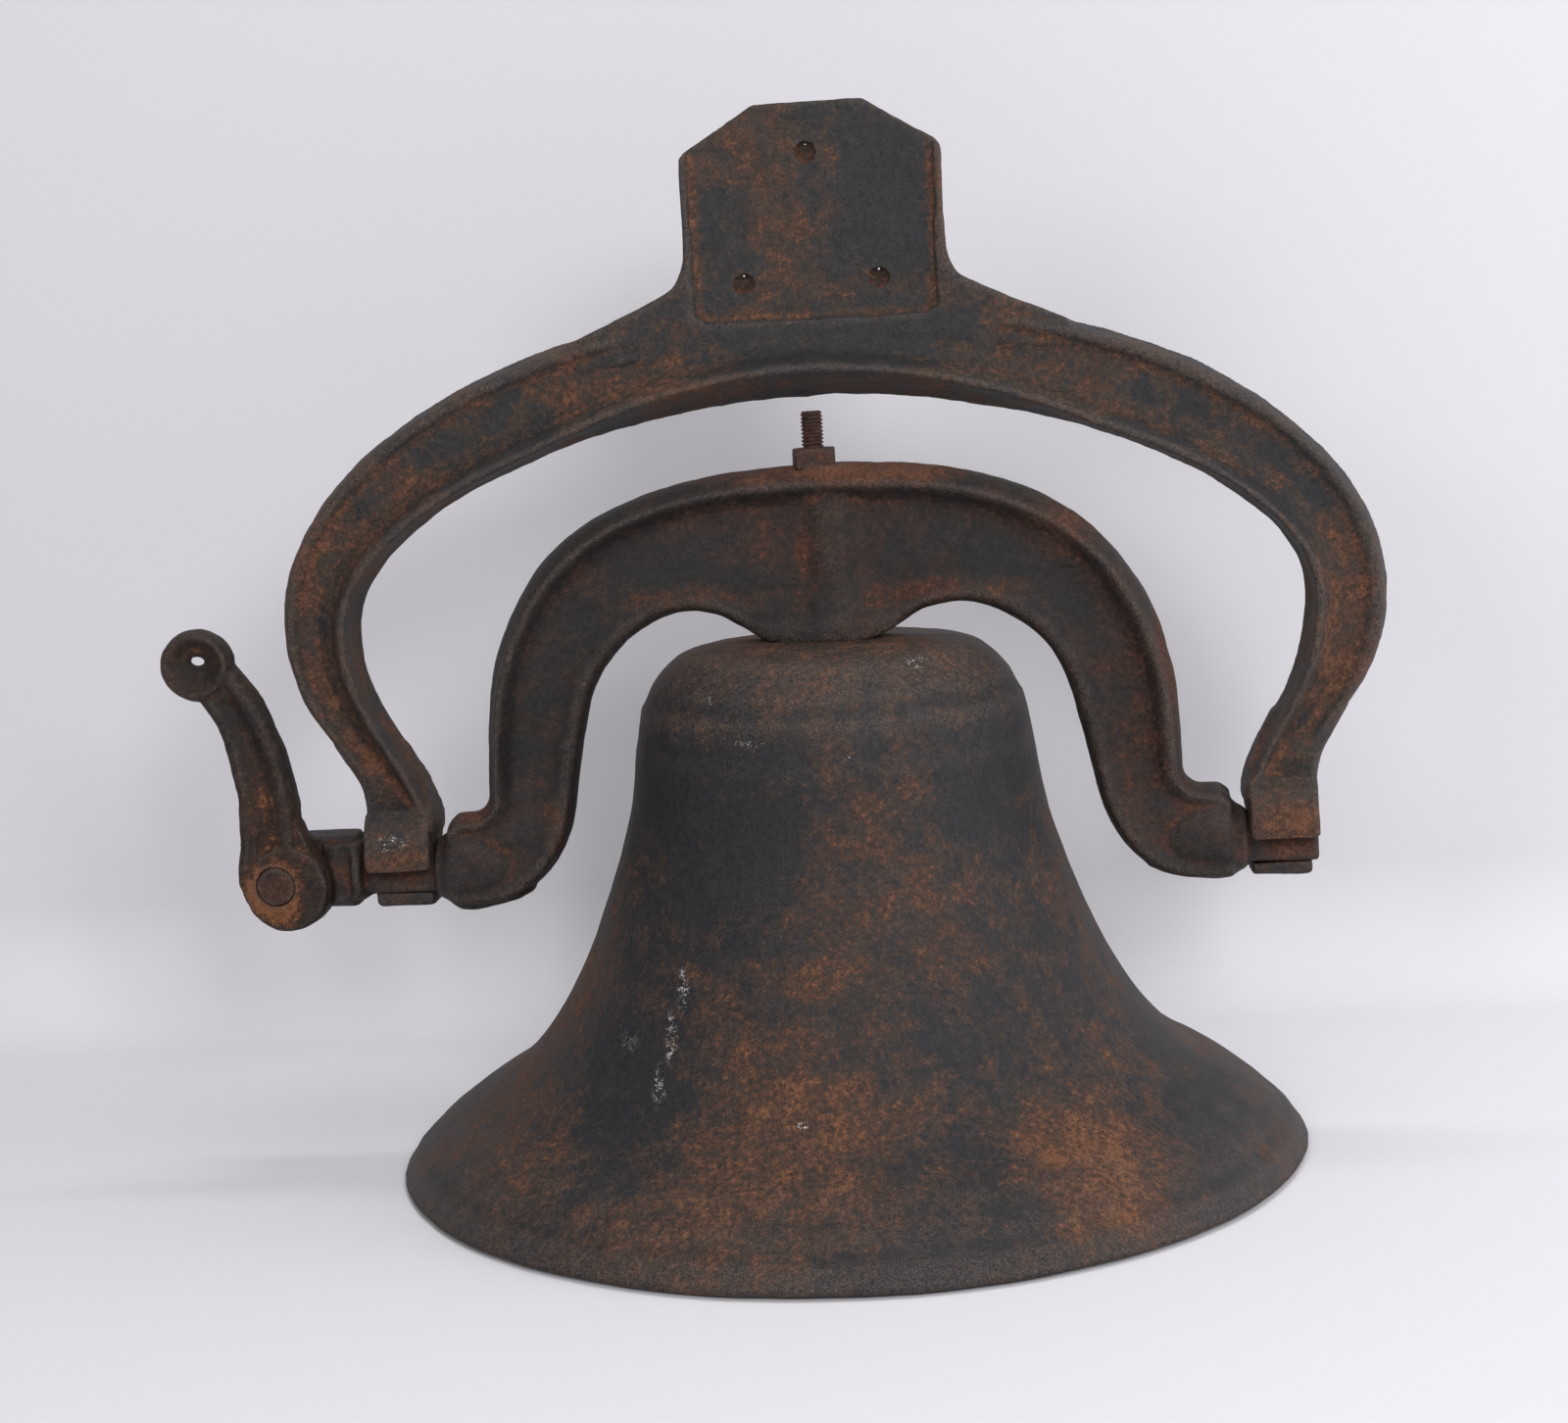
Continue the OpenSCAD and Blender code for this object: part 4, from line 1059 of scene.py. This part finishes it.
# %% the bolt
clevis_z = crown_z - 13
thread_r, pitch, thread_l = 4.76, 1.5875, 34
thread_from = bolt_top - thread_l
bolt_lean, nut_aside = 2.4, 2.1
seed_mesh = bpy.data.meshes.new("thread")
seed_mesh.from_pydata([(0, 0, 0)], [], [])
thread = grown(as_object("thread", seed_mesh), threading, {
    "Radius": thread_r * MM, "Pitch": pitch * MM, "Depth": 0.85 * MM, "Length": thread_l * MM,
    "Chamfer": 0.9 * MM, "Around": 41, "Rows": 260, "Material": rusty_steel})
thread.data.transform(Matrix.Translation(axis_at + Vector((0, 0, thread_from * MM))))
fork = cast("fork", [
    rod((0, 0, clevis_z - 1), (0, 0, thread_from + 0.4), 4.5, 4.5),
    rod((0, 0, clevis_z - 9), (0, 0, clevis_z), 12, 12),
    box((-11.1, -9, clapper_at.z), (-6.1, 9, clevis_z - 6)),
    box((6.1, -9, clapper_at.z), (11.1, 9, clevis_z - 6)),
    rod((-11.1, 0, clapper_at.z), (-6.1, 0, clapper_at.z), 9, 9),
    rod((6.1, 0, clapper_at.z), (11.1, 0, clapper_at.z), 9, 9)], 0.8, 2)
bm = bmesh.new()
bm.from_mesh(thread.data)
bmesh.ops.holes_fill(bm, edges=[e for e in bm.edges if e.is_boundary], sides=0)
bm.to_mesh(thread.data)
bm.free()
face_out(thread.data)
face_out(fork.data)
bolt_mesh = bpy.data.meshes.new("bell_bolt_steel")
bm = bmesh.new()
bm.from_mesh(thread.data)
bm.from_mesh(fork.data)
bm.to_mesh(bolt_mesh)
bm.free()
bolt = as_object("bell_bolt_steel", bolt_mesh)
for rough in (thread, fork):
    bpy.data.objects.remove(rough)
for v in bolt_mesh.vertices:
    up = max(0, (v.co.z - axis_at.z) / MM - clapper_at.z)
    v.co.x -= bolt_lean * MM * up / (bolt_top - clapper_at.z)
bolt_mesh.materials.append(rusty_steel)
bolt_mesh.shade_smooth()
roughen(bolt, [(6, 0.16), (1.5, 0.08)], 4.0)
mark_wear(bolt, 3, 0.2)
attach(bolt, "swing")
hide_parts("bell_bolt")


# %% the square nut
def square_nut(across, high, bore, turn):
    """A square nut with a coned top and slightly rounded corners."""
    around, rings = 96, []
    for share, z in ((0, high - 0.4), (0, high), (0.5, high), (0.93, high), (1, high - 0.35),
                     (1, high * 0.5), (1, 0.5), (0.96, 0), (0.4, 0), (0, 0)):
        ring = []
        for k in range(around):
            a = 2 * math.pi * k / around
            flat = across / 2 / max(abs(math.cos(a)), abs(math.sin(a)))
            edge = min(flat, across * 0.655)
            r = bore + (edge - bore) * share
            cone = max(0.0, r - across * 0.47) * 0.5
            ring.append((r * math.cos(a + turn), r * math.sin(a + turn),
                         min(z, high - cone) if z > high * 0.6 else z))
        rings.append(ring)
    rings.append(rings[0])
    verts, faces = tube(rings)
    return verts, faces[:-2]


nut_verts, nut_faces = square_nut(17.5, 8.7, 4.7, math.radians(8))
nut_verts = [(x - nut_aside, y, z + yoke_top) for x, y, z in nut_verts]
nut = as_object("square_nut", as_mesh("square_nut", nut_verts, nut_faces))
bm = bmesh.new()
bm.from_mesh(nut.data)
bmesh.ops.remove_doubles(bm, verts=bm.verts, dist=0.01 * MM)
bmesh.ops.subdivide_edges(bm, edges=bm.edges, cuts=1, use_grid_fill=True)
bm.to_mesh(nut.data)
bm.free()
nut.data.materials.append(rusty_steel)
face_out(nut.data)
roughen(nut, [(7, 0.25), (2, 0.14)], 6.0)
mark_wear(nut, 3, 0.15)
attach(nut, "swing")
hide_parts("bell_nut")

# %% the washer, the clapper and its pin
washer_outline = [(5.2, 0.4), (5.6, 0), (16.4, 0), (17, 0.6), (17, 2.4), (16.4, 3), (5.6, 3), (5.2, 2.6)]
washer = turned_piece("crown_washer_steel", washer_outline, 64, 48, rusty_steel,
                      Matrix.Translation((0, 0, clevis_z * MM)))
mark_wear(washer, 2, 0.2)
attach(washer, "swing")
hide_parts("crown_washer")

cz = clapper_at.z
clapper = cast("clapper_iron", [
    rod((-5.5, 0, cz), (5.5, 0, cz), 10, 10), rod((0, 0, cz - 8), (0, 0, cz - 24), 5.5, 6.4),
    rod((0, 0, cz - 20), (0, 0, cz - 135), 6.4, 6.9), rod((0, 0, cz - 128), (0, 0, cz - 146), 7, 12),
    lump((0, 0, cz - 158), (21, 21, 21)), rod((0, 0, cz - 172), (0, 0, cz - 184), 9, 6)], 1.0, 4)
cut_away(clapper, [rod((-9, 0, cz), (9, 0, cz), 4.3, 4.3)])
roughen(clapper, [(20, 0.5), (6, 0.25)], 8.0)
give_iron(clapper, hanger_iron)
mark_wear(clapper, 5, 0.3)
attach(clapper, "clapper_body")
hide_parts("clapper")

lay_x = Matrix.Translation((0, 0, cz * MM)) @ Matrix.Rotation(math.radians(90), 4, "Y")
pin_outline = [(0, -14.1), (5.6, -14.1), (6.4, -13.4), (6.4, -11.6), (6, -11.2), (4, -11.2), (4, 17.4),
               (3.4, 18.1), (0, 18.1)]
pin = turned_piece("clapper_pin_steel", pin_outline, 48, 64, rusty_steel, lay_x)
mark_wear(pin, 3, 0.2)
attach(pin, "swing")
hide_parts("clapper_pin")

# %% the cotter pin
cotter_x, ring_r = 14.6, 2.6
cotter_path = [(cotter_x, 0, cz - 10), (cotter_x, 0, cz - 4), (cotter_x, 0, cz + 5.5)]
cotter_path += [(cotter_x, ring_r * math.sin(a), cz + 9.6 - ring_r * math.cos(a))
                for a in np.linspace(0.4, 5.9, 16)]
cotter_path += [(cotter_x, 0.6, cz + 5.5)]


def bent_wire(name, path, r):
    """A round wire along a bent path."""
    rings = []
    path = [Vector(p) for p in path]
    for i, p in enumerate(path):
        way = (path[min(i + 1, len(path) - 1)] - path[max(i - 1, 0)]).normalized()
        side = Vector((1, 0, 0))
        up = way.cross(side).normalized()
        rings.append([p + (side * math.cos(a) + up * math.sin(a)) * r for a in all_round(12)])
    return as_object(name, as_mesh(name, *tube(rings)))


cotter = bent_wire("cotter_wire", cotter_path, 1.15)
cotter.data.materials.append(rusty_steel)
face_out(cotter.data)
mark_wear(cotter, 1, 0.2)
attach(cotter, "swing")
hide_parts("cotter_pin")

# %% [markdown]
# ## The stage, the light and the camera
# The bell stands on its rim on a pale paper sweep. A soft light stands in front and to
# the right, a weaker one on the left keeps the shadows open, one at the side draws the
# right edges, and two above light the tops. The sweep is close behind the bell, so soft
# shadows fall on it. Seen from behind or below, the paper is clear.

# %% floor and backdrop
floor_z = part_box("bell")[0][2] - 2.0 * MM


def sweep_line():
    """The paper's side line: the floor, a small cove, and a wall that leans back."""
    start, cove = 0.175, 0.07
    line = [(-3.0, 0.0), (-1.0, 0.0), (start, 0.0)]
    line += [(start + cove * math.sin(a), cove - cove * math.cos(a))
             for a in np.linspace(0.1, math.pi / 2 - 0.06, 14)]
    line += [(0.247, 0.3), (0.255, 1.2), (0.285, 2.4)]
    return line


sweep_mesh = bpy.data.meshes.new("paper_sweep")
sweep_verts = [(x, y, floor_z + z) for y, z in sweep_line() for x in (-3.0, 3.0)]
sweep_faces = [(2 * i, 2 * i + 1, 2 * i + 3, 2 * i + 2) for i in range(len(sweep_verts) // 2 - 1)]
sweep_mesh.from_pydata(sweep_verts, [], sweep_faces)
sweep_mesh.shade_smooth()
sweep = as_object("paper_sweep", sweep_mesh)
paper = bpy.data.materials.new("paper")
paper.use_nodes = True
coat = paper.node_tree.nodes["Principled BSDF"]
coat.inputs["Base Color"].default_value = (0.655, 0.645, 0.677, 1)
coat.inputs["Roughness"].default_value = 0.8
coat.inputs["Specular IOR Level"].default_value = 0.2
bare = paper.node_tree.nodes.new("ShaderNodeBsdfTransparent")
faced = paper.node_tree.nodes.new("ShaderNodeNewGeometry")
either = paper.node_tree.nodes.new("ShaderNodeMixShader")
wire(paper.node_tree, faced.outputs["Backfacing"], either.inputs[0])
wire(paper.node_tree, coat.outputs[0], either.inputs[1])
wire(paper.node_tree, bare.outputs[0], either.inputs[2])
wire(paper.node_tree, either.outputs[0], paper.node_tree.nodes["Material Output"].inputs["Surface"])
sweep_mesh.materials.append(paper)
sweep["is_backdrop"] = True


# %% lights
def soft_light(name, place, aim, size, power):
    lamp = bpy.data.lights.new(name, "AREA")
    lamp.shape = "RECTANGLE"
    lamp.size, lamp.size_y = size
    lamp.energy = power
    made = as_object(name, lamp)
    made.location = place
    made.rotation_euler = (Vector(aim) - Vector(place)).to_track_quat("-Z", "Y").to_euler()
    return made


soft_light("key", (0.55, -1.6, 0.55), (0, 0, -0.1), (0.5, 0.5), 16)
soft_light("side", (1.5, -0.25, 0.3), (0, 0, -0.1), (0.9, 0.9), 11)
soft_light("fill", (-0.7, -1.5, 0.5), (0, 0, -0.1), (0.6, 0.6), 7.5)
soft_light("rear_top", (0, 0.19, 1.3), (0, 0.02, -0.05), (0.8, 0.12), 4)
soft_light("top", (0.1, -0.6, 1.7), (0, 0, -0.2), (1.4, 1.4), 9.5)
world = bpy.data.worlds.new("studio")
world.use_nodes = True
world.node_tree.nodes["Background"].inputs["Color"].default_value = (1, 1, 1, 1)
world.node_tree.nodes["Background"].inputs["Strength"].default_value = 0.25
bpy.context.scene.world = world
bpy.context.scene.view_settings.view_transform = "Standard"

# %% the camera
azimuth, pitch_down, roll = 4.68, 7.74, -2.985
camera_at = (0.0706, -1.1299, -0.0321)
lens = bpy.data.cameras.new("camera")
lens.lens = 59.6
lens.sensor_width = 36
camera = as_object("camera", lens)
turn = (Matrix.Rotation(math.radians(azimuth), 4, "Z")
        @ Matrix.Rotation(math.radians(90 - pitch_down), 4, "X")
        @ Matrix.Rotation(math.radians(roll), 4, "Z"))
camera.matrix_world = Matrix.Translation(camera_at) @ turn
bpy.context.scene.camera = camera

# %% print the two boxes and the triangle counts
looks_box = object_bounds()
for label, corners in (("plain", plain_box), ("looks", looks_box)):
    print(label, [[round(x, 4) for x in p] for p in corners])
print("triangles", {o.name: sum(len(p.vertices) - 2 for p in o.data.polygons)
                    for o in (bell, hanger, yoke, lever, bolt, clapper)})
